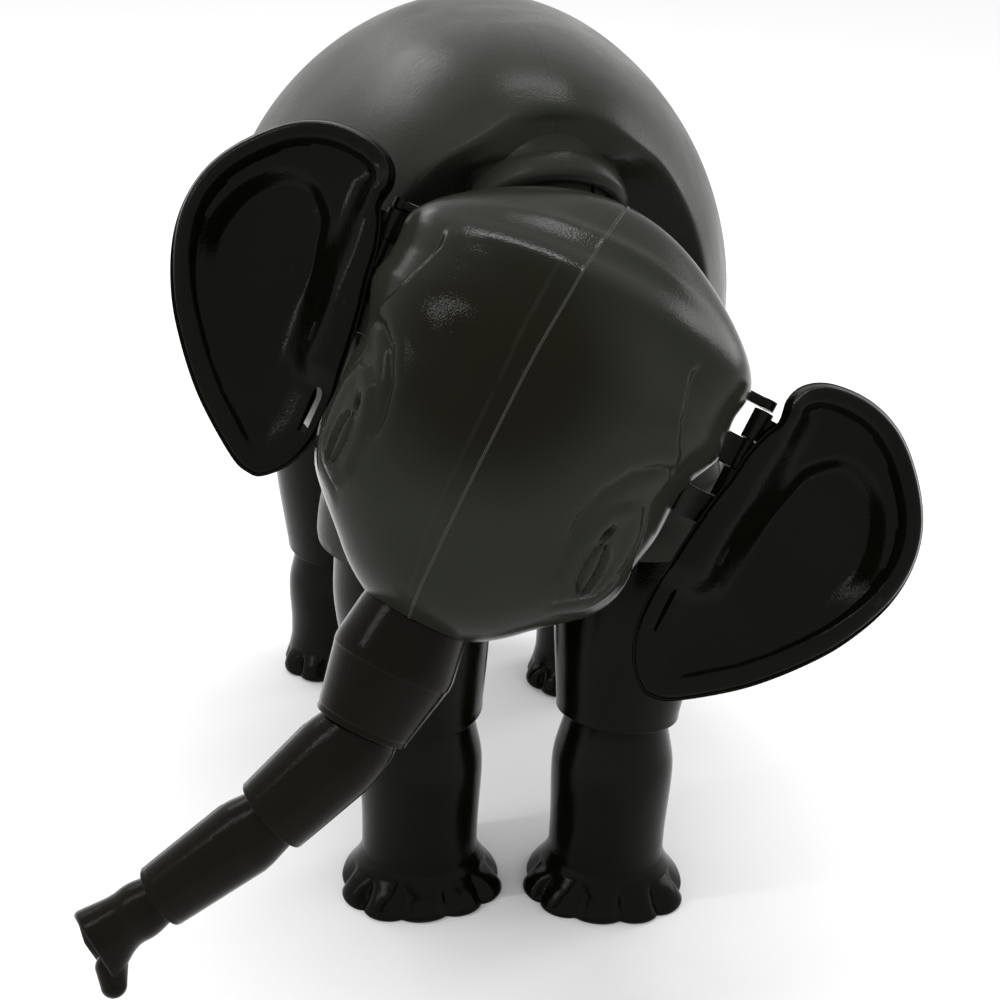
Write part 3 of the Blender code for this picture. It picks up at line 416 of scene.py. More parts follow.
def plasticFinish(name, look):
    made = bpy.data.materials.new(name)
    made.use_nodes = True
    tree = made.node_tree
    link = tree.links.new
    shader = tree.nodes["Principled BSDF"]
    shader.inputs["IOR"].default_value = look["ior"]
    shader.inputs["Metallic"].default_value = 0
    place = nodeOf(tree, "ShaderNodeTexCoord").outputs["Object"]
    cloud = noise(tree, place, Scale=look["cloudScale"], Detail=4, Roughness=0.55)
    skin = tinted(tree, cloud, look, (0.35, 0.68))
    if "foreheadPaintedReflection" in look:  # painted reflection: a darker, browner forehead stands in for a dim warm reflection
        away = nodeOf(tree, "ShaderNodeVectorMath", operation="DISTANCE")
        away.inputs[1].default_value = headPlace @ Vector(look["foreheadPaintedReflectionAt"])
        link(place, away.inputs[0])
        skin = overlaid(tree, eased(tree, away.outputs["Value"], *look["foreheadPaintedReflectionSize"], 1, 0, True), skin, look["foreheadPaintedReflection"])
    if "seam" in look:  # painted highlight: a pale line along the parting line stands in for the light its flash catches, and painted shade darkens the sides
        beside = besideSeam(tree, place)
        skin = overlaid(tree, eased(tree, beside, *look["seamHighlightSize"], 0.85, 0), skin, look["seam"])
        # painted shade: the head's sides and hinge lugs turn near black, as if in shadow
        skin = overlaid(tree, eased(tree, beside, *look["sideShadeFrom"], smooth=True), skin, look["side"])
    # paler convex edges: partly rubbed wear, partly a painted highlight along rims and edges
    pointyEdges = nodeOf(tree, "ShaderNodeNewGeometry")
    edgeWearAndHighlight = nodeOf(tree, "ShaderNodeMath", operation="MULTIPLY")
    link(eased(tree, pointyEdges.outputs["Pointiness"], 0.535, 0.62, 0, look["edgeWearAndHighlightShare"]), edgeWearAndHighlight.inputs[0])
    link(noise(tree, place, Scale=260, Detail=3), edgeWearAndHighlight.inputs[1])
    link(overlaid(tree, edgeWearAndHighlight.outputs[0], skin, look["edgeWearAndHighlight"]), shader.inputs["Base Color"])
    # gloss that varies: handling marks and a fine moulded grain
    smear = noise(tree, place, Scale=48, Detail=5, Roughness=0.6, Distortion=0.6)
    link(eased(tree, smear, 0.35, 0.70, look["roughLow"], look["roughHigh"]), shader.inputs["Roughness"])
    fine = nodeOf(tree, "ShaderNodeBump", Strength=look["grain"], Distance=0.00008)
    link(noise(tree, place, Scale=look["grainScale"], Detail=2), fine.inputs["Height"])
    broad = nodeOf(tree, "ShaderNodeBump", Strength=look["peel"], Distance=0.0002)
    link(noise(tree, place, Scale=420, Detail=2), broad.inputs["Height"])
    link(fine.outputs["Normal"], broad.inputs["Normal"])
    link(broad.outputs["Normal"], shader.inputs["Normal"])
    return made


def steelFinish(name, look):
    made = bpy.data.materials.new(name)
    made.use_nodes = True
    tree = made.node_tree
    shader = tree.nodes["Principled BSDF"]
    shader.inputs["Metallic"].default_value = 1
    draw = nodeOf(tree, "ShaderNodeMapping")
    draw.inputs["Scale"].default_value = look["drawn"]
    tree.links.new(nodeOf(tree, "ShaderNodeTexCoord").outputs["Object"], draw.inputs["Vector"])
    brushed = noise(tree, draw.outputs["Vector"], Scale=1.5, Detail=4)
    tree.links.new(tinted(tree, brushed, look, (0, 1)), shader.inputs["Base Color"])
    tree.links.new(eased(tree, brushed, 0, 1, 0.25, 0.45), shader.inputs["Roughness"])
    return made


glossLook = {
    "ior": 1.17, "cloudScale": 22, "dark": (0.0014, 0.0016, 0.0007), "light": (0.0030, 0.0032, 0.0016),
    # the pale edge colour and its share: partly rubbed wear, partly painted highlight
    "edgeWearAndHighlight": (0.030, 0.030, 0.024), "edgeWearAndHighlightShare": 0.30, "roughLow": 0.11, "roughHigh": 0.22,
    "grainScale": 2400, "grain": 0.55, "peel": 0.12,
}
# painted light: a paler copy of the black plastic for the lit body, head and neck, while the shaded legs, ears and
# tail keep the darker base
litPlasticLook = {
    **glossLook, "dark": (0.0150, 0.0165, 0.0115), "light": (0.0205, 0.0220, 0.0160),
    "roughLow": 0.24, "roughHigh": 0.34,
}
# painted reflection: the trunk's brown tint stands in for the warm reflection along its tubes
trunkPaintedReflectionLook = {**glossLook, "dark": (0.0028, 0.0019, 0.0004), "light": (0.0050, 0.0038, 0.0012)}
# painted light on the head: the paler lit plastic, with a pale seam as painted highlight, darkened sides as painted
# shade and a darker brown forehead as painted reflection
headLook = {
    # painted shade: the near-black colour of the head's sides and where it starts
    **litPlasticLook, "roughLow": 0.11, "roughHigh": 0.21, "side": (0.0018, 0.0020, 0.0010), "sideShadeFrom": (0.0335, 0.0365),
    # painted highlight: the pale seam colour and its width
    "seam": (0.060, 0.062, 0.052), "seamHighlightSize": (0.00010, 0.00030),
    # painted reflection on the forehead: its colour, centre and fade
    "foreheadPaintedReflection": (0.0048, 0.0042, 0.0012), "foreheadPaintedReflectionAt": (-0.006, -0.029, 0.006), "foreheadPaintedReflectionSize": (0.012, 0.030),
}
innerLook = {
    "ior": 1.40, "cloudScale": 60, "dark": (0.010, 0.010, 0.007), "light": (0.020, 0.020, 0.014),
    "edgeWearAndHighlight": (0.05, 0.05, 0.04), "edgeWearAndHighlightShare": 0.2, "roughLow": 0.42, "roughHigh": 0.60,
    "grainScale": 1800, "grain": 0.6, "peel": 0.12,
}
blackPlastic = plasticFinish("glossyBlackPlastic", glossLook)
# painted light: the paler, lit copy of the plastic
litPlastic = plasticFinish("glossyPlasticPaintedLit", litPlasticLook)
headPlastic = plasticFinish("glossyHeadPlastic", headLook)
trunkPlastic = plasticFinish("glossyTrunkPlastic", trunkPaintedReflectionLook)
innerPlastic = plasticFinish("mattInnerPlastic", innerLook)
pinLook = {"dark": (0.010, 0.010, 0.009), "light": (0.030, 0.030, 0.027), "drawn": (40, 900, 900)}
pinSteel = steelFinish("blackenedPinSteel", pinLook)


def finishPiece(piece, body, nodes, material=None, angle=34):
    piece.data.materials.clear()
    piece.data.materials.append(material or blackPlastic)
    takeUp(piece)
    bpy.ops.object.shade_smooth_by_angle(angle=math.radians(angle))
    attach(piece, body)
    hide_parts(*nodes)
    return piece


def halfOf(piece, name, side, place, gap):  # the half on one side of the place's X = 0
    half = piece.copy()
    half.data = piece.data.copy()
    bpy.context.scene.collection.objects.link(half)
    half.name = name
    half.data.name = name
    size = 0.6
    other = block("otherHalf", (size, size, size), (-side * (size - gap) / 2, 0, 0), place)
    cutAway(half, other)
    return half


# ---- body

bodyForm = {
    "halfWidth": 0.0583, "front": -0.0700, "rear": 0.0930, "widest": 0.0420, "middleZ": 0.1340, "rise": 0.05596,
    "frontPower": 3.6, "rearPower": 2.4, "sidePower": 2.1, "topNarrow": 0.13, "rumpDrop": 0.16, "wall": 0.0024,
    "dishRadius": 0.0623, "dishDeepest": -0.0362, "dishZ": 0.1320, "frontWall": -0.0565,
    "segments": 384, "dishRings": 90, "outerRings": 170, "rimRings": 16, "rimPasses": 34, "seam": 0.00003,
}
legForm = {
    "hipZ": 0.0840, "hipBall": 0.0160, "socketWall": 0.0022, "haunch": 0.0195, "haunchHeight": 0.0350,
    "swingRoom": 0.0022, "thigh": 0.0170, "kneeRim": 0.0138, "kneeBall": 0.0117, "shin": 0.0137, "ankle": 0.0133,
    "front": {"hip": (0.0250, -0.0480), "kneeZ": 0.0415, "foot": 0.0190},
    "hind": {"hip": (0.0320, 0.0460), "kneeZ": 0.0340, "foot": 0.0160},
    "feet": {
        "front_left": (1, "front", (0.0214, -0.0545), -12), "front_right": (-1, "front", (-0.0215, -0.0475), 2),
        "hind_left": (1, "hind", (0.0378, 0.0360), -6), "hind_right": (-1, "hind", (-0.0304, 0.0540), 4)},
}
neckForm = {
    "at": (0, -0.0520, 0.1580), "pitch": 45.0, "ball": 0.0125, "arm": 0.0075, "stud": 0.0040, "studLength": 0.0100,
    "flange": 0.0062, "flangeThick": 0.0016, "studZ": 0.0110,
}


def legPlaces(leg):
    side, pair, (footX, footY), footTurn = legForm["feet"][leg]
    hipX, hipY = legForm[pair]["hip"]
    kneeZ = legForm[pair]["kneeZ"]
    hipAt = Vector((side * hipX, hipY, legForm["hipZ"]))
    kneeAt = Vector((footX, footY, kneeZ))
    up = (hipAt - kneeAt).normalized()
    back = up.cross(Vector((1, 0, 0))).normalized()
    pin = back.cross(up)
    axes = Matrix((pin, back, up)).transposed().to_4x4()
    link = standing @ Matrix.Translation(kneeAt) @ axes @ turned("Z", footTurn)
    knee = upright(link.to_3x3().col[0], link.translation)
    return {
        "hip": hipAt, "length": (hipAt - kneeAt).length, "kneeZ": kneeZ, "foot": legForm[pair]["foot"],
        "socket": standing @ Matrix.Translation(hipAt), "hanger": standing @ upright(pin, hipAt),
        "thigh": standing @ Matrix.Translation(hipAt) @ axes,
        "knee": knee, "shin": standing @ Matrix.Translation(kneeAt) @ turned("Z", footTurn)}


def bodyRadius(along01, around, inset):  # points of the skin for a share of the length and an angle round Y
    form = bodyForm
    half = (form["rear"] - form["front"]) / 2
    y = form["front"] + half * (1 + along01)
    across = np.sqrt(np.clip(1 - along01 ** 2, 0, 1))
    reach = np.where(y > form["widest"], form["rear"] - form["widest"], form["front"] - form["widest"])
    width = (form["halfWidth"] - inset) * roundShare((y - form["widest"]) / reach, form["sidePower"])
    power = np.where(along01 < 0, form["frontPower"], form["rearPower"])
    height = (form["rise"] - inset) * roundShare(along01, power)
    x = width * np.cos(around) * (1 - form["topNarrow"] * across * np.sin(around))
    z = height * np.sin(around)
    axisZ = form["middleZ"] - form["rumpDrop"] * form["rise"] * np.clip(along01, 0, 1) ** 2
    reachOut = np.hypot(x, z)
    ex = x / np.maximum(reachOut, 1e-9)
    ez = z / np.maximum(reachOut, 1e-9)
    yMoved = y - inset * along01
    for side in (1, -1):
        for pair in ("front", "hind"):
            reachOut = smoothMax(reachOut, haunchReach(yMoved, axisZ, ex, ez, side, pair, inset), 0.007)
    return np.stack(np.broadcast_arrays(reachOut * ex, yMoved, axisZ + reachOut * ez), axis=-1)


def haunchReach(y, axisZ, ex, ez, side, pair, inset):  # how far out a leg's haunch lies from the body's axis
    hipX, hipY = legForm[pair]["hip"]
    low = legForm["hipZ"] + legForm["hipBall"] * joints["rimLift"]
    radius = legForm["haunch"] - inset
    tall = legForm["haunchHeight"] - inset - (low - legForm["hipZ"])
    slice2 = 1 - ((y - hipY) / radius) ** 2
    wide = radius * np.sqrt(np.clip(slice2, 1e-6, 1))
    high = tall * np.sqrt(np.clip(slice2, 1e-6, 1))
    a = (ex / wide) ** 2 + (ez / high) ** 2
    b = 2 * (-side * hipX * ex / wide ** 2 + (axisZ - low) * ez / high ** 2)
    c = (hipX / wide) ** 2 + ((axisZ - low) / high) ** 2 - 1
    inside = b * b - 4 * a * c
    far = (-b + np.sqrt(np.clip(inside, 0, None))) / (2 * a)
    near = (-b - np.sqrt(np.clip(inside, 0, None))) / (2 * a)
    floor = np.where(ez < -1e-4, (axisZ - low) / np.maximum(-ez, 1e-4), 9.0)
    there = (slice2 > 0) & (inside > 0) & (far > 0) & (near < floor)
    return np.where(there, smoothMin(far, floor, 0.002), 0)


def bodySkin(name, segments, dishRings, outerRings, inset):
    form = bodyForm
    around = np.arange(segments) * 2 * math.pi / segments
    dishAt = np.array([0, form["dishDeepest"] - form["dishRadius"], form["dishZ"]])
    radius = form["dishRadius"] + inset
    # the rim is where the skin leaves the dish's ball
    tries = -np.cos(np.linspace(0.02, 1.9, 1200))
    skin = bodyRadius(tries[:, None], around[None, :], inset)
    inDish = np.linalg.norm(skin - dishAt, axis=-1) < radius
    lastIn = inDish.shape[0] - 1 - np.argmax(inDish[::-1], axis=0)
    rimAngle = np.arccos(-tries[lastIn])
    passed = np.linspace(0, 1, outerRings + 1)[:, None] ** 1.3
    angles = rimAngle[None, :] + (math.pi - rimAngle[None, :]) * passed
    outer = bodyRadius(-np.cos(angles), np.broadcast_to(around, angles.shape), inset)
    toRim = (outer[0] - dishAt) / np.linalg.norm(outer[0] - dishAt, axis=-1, keepdims=True)
    pole = np.array([0, 1, 0])
    opening = np.arccos(np.clip(toRim @ pole, -1, 1))
    part = 1 - (1 - np.linspace(0, 1, dishRings + 1)) ** 1.3
    bend = part[:-1, None] * opening[None, :]
    dish = np.sin(opening - bend)[..., None] * pole + np.sin(bend)[..., None] * toRim
    dish = dish / np.sin(opening)[None, :, None]
    grid = np.concatenate([dishAt + dish * radius, outer])
    rim = dishRings
    reach = form["rimRings"]
    if inset == 0:  # over the neck the wall drops straight from the ridge to the collar
        x, y, z = np.moveaxis(grid[:rim], -1, 0)
        filled = rampUp(z, 0.164, 0.171) * rampUp(np.abs(x), 0.024, 0.010)
        grid[:rim, :, 1] = y + (np.minimum(y, form["frontWall"]) - y) * filled
    for _ in range(form["rimPasses"] if inset == 0 else 0):
        low, high = rim - reach, rim + reach + 1
        grid[low:high] = (grid[low - 1:high - 1] + 2 * grid[low:high] + grid[low + 1:high + 1]) / 4
    grid += np.array([stance["x"], stance["y"], 0])
    return gridBall(name, segments, dishRings + outerRings, grid)


def neckPlace():
    pitch = math.radians(neckForm["pitch"])
    return along((0, math.cos(pitch), math.sin(pitch)), standing @ Vector(neckForm["at"]))


def tailHinge():
    form = bodyForm
    half = (form["rear"] - form["front"]) / 2
    rump = form["front"]
    for angle in range(90):
        y = math.sin(math.radians(angle))
        drop = form["rumpDrop"] * form["rise"] * y ** 2
        if form["middleZ"] + form["rise"] * float(roundShare(y, form["rearPower"])) - drop >= tailForm["hingeZ"]:
            rump = form["front"] + half * (1 + y)
    return standing @ Vector((0, rump + tailForm["root"] + joints["gap"], tailForm["hingeZ"]))


tailForm = {
    "length": 0.0520, "root": 0.0030, "tip": 0.0016, "tuft": 0.0034, "hingeZ": 0.1420, "eye": 0.0026,
    "lug": 0.0018, "pin": 0.0009, "start": 0.10, "drop": 0.04, "bow": 0.22, "turn": 0.60, "tuftShare": 0.72,
}


collar = {  # the neck's socket, seen from the ball's centre
    "wide": 0.0150, "shoulder": 0.0070, "rise": 0.0034, "from": 71, "to": 87, "lipAt": 0.0018, "lip": 0.0016,
    "low": 0.0008, "boreDeep": 0.020, "holeHigh": 0.025,
}


def bossLine(high):  # the socket swells round the ball like a collar
    radius = neckForm["ball"] + collar["rise"]
    line = [(0, high), (collar["wide"], high), (collar["wide"], collar["shoulder"])]
    for step in range(25):
        angle = math.radians(collar["from"] + (collar["to"] - collar["from"]) * step / 24)
        line.append((radius * math.sin(angle), radius * math.cos(angle)))
    middle = neckForm["ball"] + collar["lipAt"]
    for step in range(1, 13):
        angle = math.radians(180 * step / 12)
        line.append((middle + collar["lip"] * math.cos(angle), collar["low"] - collar["lip"] * math.sin(angle)))
    return line + [(0, collar["low"])]


def frontHaunch(socket, bottom):  # the shoulder's dome over the leg, proud of the dished front
    dome = ball("haunch", legForm["haunch"] - 0.0002, (0, 0, 0), 128, 64)
    tall = (legForm["haunchHeight"] - bottom) / legForm["haunch"]
    dome.data.transform(socket @ moved(0, 0, bottom) @ Matrix.Diagonal((1, 1, tall, 1)))
    cutAway(dome, rod("below", 2 * legForm["haunch"], -0.06, bottom, socket, 64))
    return dome


def makeBody():
    form = bodyForm
    shell = bodySkin("bodyShell", form["segments"], form["dishRings"], form["outerRings"], 0)
    hollow = bodySkin("bodyHollow", 96, 30, 60, form["wall"])
    hipBall, gap = legForm["hipBall"], joints["gap"]
    wall = hipBall + gap + legForm["socketWall"]
    bottom = hipBall * joints["rimLift"]
    swing = legForm["thigh"] + legForm["swingRoom"]
    wide = hipBall * joints["tongue"] * 2
    half = 2 * hipBall * joints["pin"]
    top = (bulkheadLow(hipBall) + bulkheadHigh(hipBall)) / 2
    neckAt = neckPlace()
    high = bulkheadHigh(neckForm["ball"])
    outer = [spun("boss", bossLine(high), neckAt, 96)]
    inner = [rod("neckWall", collar["wide"], 0.0, high, neckAt, 64)]
    bores = [rod("neckBore", neckForm["ball"] + gap, -collar["boreDeep"], bulkheadLow(neckForm["ball"]), neckAt, 96)]
    tongues, holes = [], [rod("neckHole", neckForm["ball"] * joints["stem"] + gap, 0, collar["holeHigh"], neckAt)]
    for leg in legForm["feet"]:
        places = legPlaces(leg)
        socket, hanger = places["socket"], places["hanger"]
        outer.append(rod("socket", wall, bottom, bulkheadHigh(hipBall), socket, 96))
        if "front" in leg:
            outer.append(frontHaunch(socket, bottom))
        inner.append(rod("socketWall", wall, bottom - 0.004, bulkheadHigh(hipBall), socket, 64))
        bores.append(rod("bore", hipBall + gap, -hipBall, bulkheadLow(hipBall), socket, 96))
        bores.append(rod("swing", swing, -2 * legForm["thigh"], bottom * 0.8, socket, 128))
        tongue = rod("tongue", half, -wide / 2, wide / 2, hanger @ turned("Y", 90), 48)
        tongues.append(asOne(tongue, block("tongueArm", (wide, 2 * half, top), (0, 0, top / 2), hanger)))
        holes.append(crossRod("tongueHole", hipBall * joints["pin"] + gap, wide, hanger))
    cutAway(hollow, asOne(*inner))
    joinOn(shell, asOne(*outer))
    cutAway(shell, hollow)
    cutAway(shell, asOne(*bores))
    joinOn(shell, asOne(*tongues))
    cutAway(shell, asOne(*holes))
    for side, name, node in ((1, "bodyShellLeft", "body_left"), (-1, "bodyShellRight", "body_right")):
        piece = halfOf(shell, name, side, standing, form["seam"])
        addTailLug(piece, side)
        finishPiece(piece, "body", [node], material=litPlastic)
    bpy.data.objects.remove(shell)


def addTailLug(half, side):
    place = Matrix.Translation(tailHinge())
    inner = tailForm["eye"] / 2 + joints["gap"]
    beside = place @ moved(side * (inner + tailForm["lug"] / 2), 0, 0)
    radius = tailForm["root"]
    lug = crossRod("lug", radius, tailForm["lug"] / 2, beside, 48)
    length = radius * 2.4
    joinOn(lug, block("lugRoot", (tailForm["lug"], length, radius * 2), (0, -length / 2, 0), beside))
    joinOn(half, lug)
    cutAway(half, crossRod("eyeRoom", radius + 2 * joints["gap"], inner, place, 48))
    cutAway(half, crossRod("lugHole", tailForm["pin"] + joints["gap"], 2 * radius, place))


makeBody()
print("body done")


# ---- head

faceForm = {  # millimetres on the head; the eye's own axes are across (outwards) and up
    "eyeAt": (23.8, -17.8, -14.2), "eyeTurn": 53.0,
    "lid": ((0.7, -11.8), (-3.0, -8.6), (-4.7, -3.6), (-5.0, 2.0), (-3.6, 6.6), (-0.4, 9.2), (2.7, 9.6), (5.2, 6.0),
            (6.8, 1.3), (7.3, -3.4), (6.4, -7.6), (3.9, -9.8)),
    "lidRise": 0.95, "slitTop": (-0.6, 1.2), "slitBottom": (2.3, -8.0), "slitWide": 1.75, "slitDeep": 1.05,
    "pupilAt": (-1.3, 3.0), "pupilSize": (0.75, 1.55), "pupilDeep": 1.3,
    "brow": ((-5.6, -3.0), (-6.9, 3.0), (-6.2, 8.6), (-3.4, 13.6), (0.8, 16.4), (5.0, 17.4), (8.6, 16.2)),
    "topArm": {"reach": 0.0115, "radius": 0.0013, "thick": 0.0019, "at": 0.0163},
    "browDeep": 0.42, "underDeep": 0.35,
    "underEye": ((-0.4, -12.2), (3.6, -9.9), (6.6, -8.6), (7.6, -5.6), (7.9, -2.0)),
    "templeHeights": (-24, -17, -13, -6, -3, 1.5, 5, 8, 11, 19, 26),
    "templeTurns": (88, 77, 70, 63, 60, 61, 58, 53, 50, 50, 56), "templeDeep": 1.5,
}


def headPoint(x, y, z, inset):
    form = headForm
    depth = np.where(y < 0, form["front"], form["back"]) - inset
    share = np.where(y < 0, easeTable(form["frontShare"], z), easeTable(form["backShare"], z))
    wide = (form["halfWidth"] - inset) * x * easeTable(form["width"], z)
    return np.stack(np.broadcast_arrays(wide, depth * y * share, (form["halfHeight"] - inset) * z), axis=-1)


def insideShape(u, v, corners):  # signed distance to a closed outline, positive inside
    away, _ = lineDistance(u, v, list(corners) + [corners[0]])
    inside = np.zeros(u.shape, dtype=bool)
    for (ax, ay), (bx, by) in zip(corners, list(corners[1:]) + [corners[0]]):
        crosses = ((ay > v) != (by > v)) & (u < (bx - ax) * (v - ay) / ((by - ay) or 1e-9) + ax)
        inside ^= crosses
    return np.where(inside, away, -away)


def faceRelief(points):  # how far each point of the head stands out, in millimetres
    face = faceForm
    x, y, z = (points * 1000).T
    turn = np.degrees(np.arctan2(np.abs(x), -y))
    eyeX, eyeY, eyeZ = face["eyeAt"]
    angle = math.radians(face["eyeTurn"])
    across = (np.abs(x) - eyeX) * math.cos(angle) + (y - eyeY) * math.sin(angle)
    up = z - eyeZ
    front = rampUp(turn, 118, 96)
    lid = insideShape(across, up, face["lid"])
    relief = face["lidRise"] * rampUp(lid, -0.45, 1.0) * (1 - 0.30 * rampUp(lid, 1.6, 4.2))
    # the eye's slit with its ball, and the pupil above it
    slitAway, slitShare = lineDistance(across, up, (face["slitTop"], face["slitBottom"]))
    slitHalf = face["slitWide"] * np.sqrt(np.clip(1 - (2 * slitShare - 1) ** 2, 0, 1)) + 0.05
    slit = rampUp(slitAway / slitHalf, 1.40, 0.75)
    eyeBall = 0.95 * np.clip(1 - (slitAway / (slitHalf * 0.90)) ** 2, 0, 1)
    relief -= slit * (face["slitDeep"] - eyeBall)
    relief += 0.22 * bump(slitAway - slitHalf - 0.45, 0.35) * (slitShare > 0.02)
    pupilX, pupilY = face["pupilAt"]
    wide, tall = face["pupilSize"]
    pupil = np.hypot((across - pupilX - 0.20 * (up - pupilY)) / wide, (up - pupilY) / tall)
    relief -= face["pupilDeep"] * rampUp(pupil, 1.35, 0.45)
    # the fold over the eye and the crease under it
    away, share = lineDistance(across, up, face["brow"])
    fade = rampUp(share, 0.0, 0.12) * rampUp(share, 1.0, 0.86)
    relief -= face["browDeep"] * bump(away, 0.75) * fade
    relief += 0.34 * bump(away - 2.6, 1.8) * fade
    away, share = lineDistance(across, up, face["underEye"])
    fade = rampUp(share, 0.0, 0.15) * rampUp(share, 1.0, 0.80)
    relief -= face["underDeep"] * bump(away, 0.70) * fade
    relief += 0.25 * bump(away - 2.2, 1.5) * fade
    relief *= front
    # the temple sinks behind an edge beside the eye
    edge = np.interp(z, face["templeHeights"], face["templeTurns"])
    hollow = rampUp(turn, edge + 0.5, edge + 4.5) * rampUp(z, -27, -21) * rampUp(z, 24, 17) * rampUp(turn, 150, 118)
    relief -= face["templeDeep"] * hollow
    # crown: a soft ridge over the forehead, a fine groove above it
    brow2 = rampUp(turn, 78, 40)
    ridgeZ = 25.0 + 0.06 * x - 0.004 * x ** 2
    relief += 0.45 * bump(z - ridgeZ, 2.6) * brow2
    relief -= 0.22 * bump(z - ridgeZ - 5.2, 1.8) * brow2
    relief += 0.25 * bump(z - ridgeZ - 8.6, 1.3) * rampUp(turn, 70, 30)
    # cheeks swell low down, and the seam stands up in a fine ridge
    relief += 0.5 * bump(z + 31, 6.0) * bump(turn - 62, 22)
    relief += 0.13 * bump(x, 0.30) * rampUp(-y, -6, 0)
    return relief


def headSkin(name, segments, rings, inset, relief):
    polar = np.linspace(0, math.pi, rings + 1)
    around = frontAngles(segments, 0.55)
    x = np.sin(polar)[:, None] * np.cos(around)[None, :]
    y = np.sin(polar)[:, None] * np.sin(around)[None, :]
    z = np.cos(polar)[:, None] * np.ones(segments)[None, :]
    grid = headPoint(x, y, z, inset)
    if relief:
        flat = grid.reshape(-1, 3)
        across = np.roll(grid, -1, axis=1) - np.roll(grid, 1, axis=1)
        down = np.gradient(grid, axis=0)
        normal = np.cross(across, down)
        length = np.linalg.norm(normal, axis=-1, keepdims=True)
        outward = grid / np.linalg.norm(grid, axis=-1, keepdims=True)
        normal = np.where(length > 1e-12, normal / np.maximum(length, 1e-12), outward)
        normal *= np.sign(np.sum(normal * outward, axis=-1, keepdims=True))
        grid = grid + normal * (faceRelief(flat).reshape(grid.shape[:2]) / 1000)[..., None]
    piece = gridBall(name, segments, rings, grid)
    piece.data.transform(headPlace)
    return piece


def studPlace():
    form = headForm
    share = neckForm["studZ"] / form["halfHeight"]
    back = form["back"] * math.sqrt(1 - share ** 2) * float(easeTable(form["backShare"], share)) + joints["gap"]
    return headPlace @ moved(0, back, neckForm["studZ"]) @ turned("X", -90)


earForm = {
    "span": 0.0375, "height": 0.0655, "knuckle": 0.0019, "pin": 0.0008, "hingeLength": 0.0300, "lugReach": 0.0030,
    "rim": 0.0030, "left": {"at": (0.0390, 0.0055, 0.0070), "sweep": 6.0, "lean": 0},
    "right": {"at": (-0.0374, 0.0055, 0.0092), "sweep": 2.0, "lean": -4.0},
    "outline": (
        (0.055, 0.280), (0.110, 0.345), (0.235, 0.385), (0.443, 0.392), (0.640, 0.352), (0.818, 0.262),
        (0.946, 0.155),
        (1.0, 0.043), (0.99, -0.075), (0.915, -0.20), (0.787, -0.324), (0.557, -0.476), (0.28, -0.60),
        (0.16, -0.626), (0.085, -0.617), (-0.016, -0.556), (-0.077, -0.464), (-0.088, -0.356),
        (-0.080, -0.245), (-0.066, -0.16), (-0.045, -0.070), (-0.016, 0.02), (0.0, 0.10), (0.035, 0.17),
        (0.066, 0.215)),
    "segments": 288, "rings": 120,
}


def earPlace(side):
    form = earForm["left"] if side > 0 else earForm["right"]
    return headPlace @ moved(*form["at"]) @ turned("Z", form["sweep"]) @ turned("Y", form["lean"])


def knuckleHeights():
    pitch = earForm["hingeLength"] / 5
    return [pitch * (index - 2) for index in range(5)], (pitch - joints["gap"]) / 2


def makeHead():
    form = headForm
    shell = headSkin("headShell", form["segments"], form["rings"], 0, True)
    hollow = headSkin("headHollow", 96, 64, form["wall"] + 0.0006, False)
    root = trunkPlaces()[0][0]
    rootBall, gap = trunkForm["balls"][0], joints["gap"]
    size = form["halfWidth"] * 4
    floorHigh = bulkheadHigh(rootBall)
    studAt = studPlace()
    bossDeep = neckForm["studLength"] - neckForm["flangeThick"] - gap
    floor = block("floor", (size, size, floorHigh), (0, 0, floorHigh / 2), root)
    boss = rod("boss", neckForm["flange"] + gap, -bossDeep, neckForm["studLength"], studAt)
    cutAway(hollow, asOne(floor, boss))
    cutAway(shell, hollow)
    seat = rod("seat", neckForm["arm"] + 2 * gap, 0, neckForm["studLength"], studAt)
    stud = rod("studHole", neckForm["stud"] + gap, -neckForm["studLength"], 0.004, studAt)
    bore = rod("trunkBore", rootBall + gap, -form["halfHeight"], bulkheadLow(rootBall), root, 96)
    link = rod("linkHole", rootBall * joints["stem"] + gap, 0, floorHigh + 0.004, root)
    cutAway(shell, asOne(seat, stud, bore, link))
    heights, half = knuckleHeights()
    for side, name, node in ((1, "headShellLeft", "head_left"), (-1, "headShellRight", "head_right")):
        piece = halfOf(shell, name, side, headPlace, form["seam"])
        at = earPlace(side)
        arms = []
        for index in (1, 3):
            reach = form["halfWidth"] * 0.19
            low, high = heights[index] - half, heights[index] + half
            size = (reach, earForm["knuckle"] * 1.5, half * 2)
            arms += [block("lugArm", size, (-side * reach / 2, 0, heights[index]), at, 0.0004)]
            arms += [rod("lug", earForm["knuckle"], low, high, at)]
        joinOn(piece, asOne(*arms))
        top = faceForm["topArm"]
        size = (top["reach"], 2 * top["radius"], top["thick"])
        arm = block("topArm", size, (-side * top["reach"] / 2, 0, top["at"]), at, 0.0006)
        low, high = top["at"] - top["thick"] / 2, top["at"] + top["thick"] / 2
        joinOn(piece, asOne(arm, rod("topEye", top["radius"] * 1.15, low, high, at)))
        reach = earForm["hingeLength"] / 2
        cutAway(piece, rod("earHole", earForm["pin"] + gap, -reach, reach, at))
        finishPiece(piece, "head", [node], material=headPlastic)
    bpy.data.objects.remove(shell)


makeHead()
print("head done")


# ---- neck

def jointAxes(pinAxis, up, at):
    up = up.normalized()
    back = up.cross(pinAxis).normalized()
    return Matrix.Translation(at) @ Matrix((back.cross(up), back, up)).transposed().to_4x4()


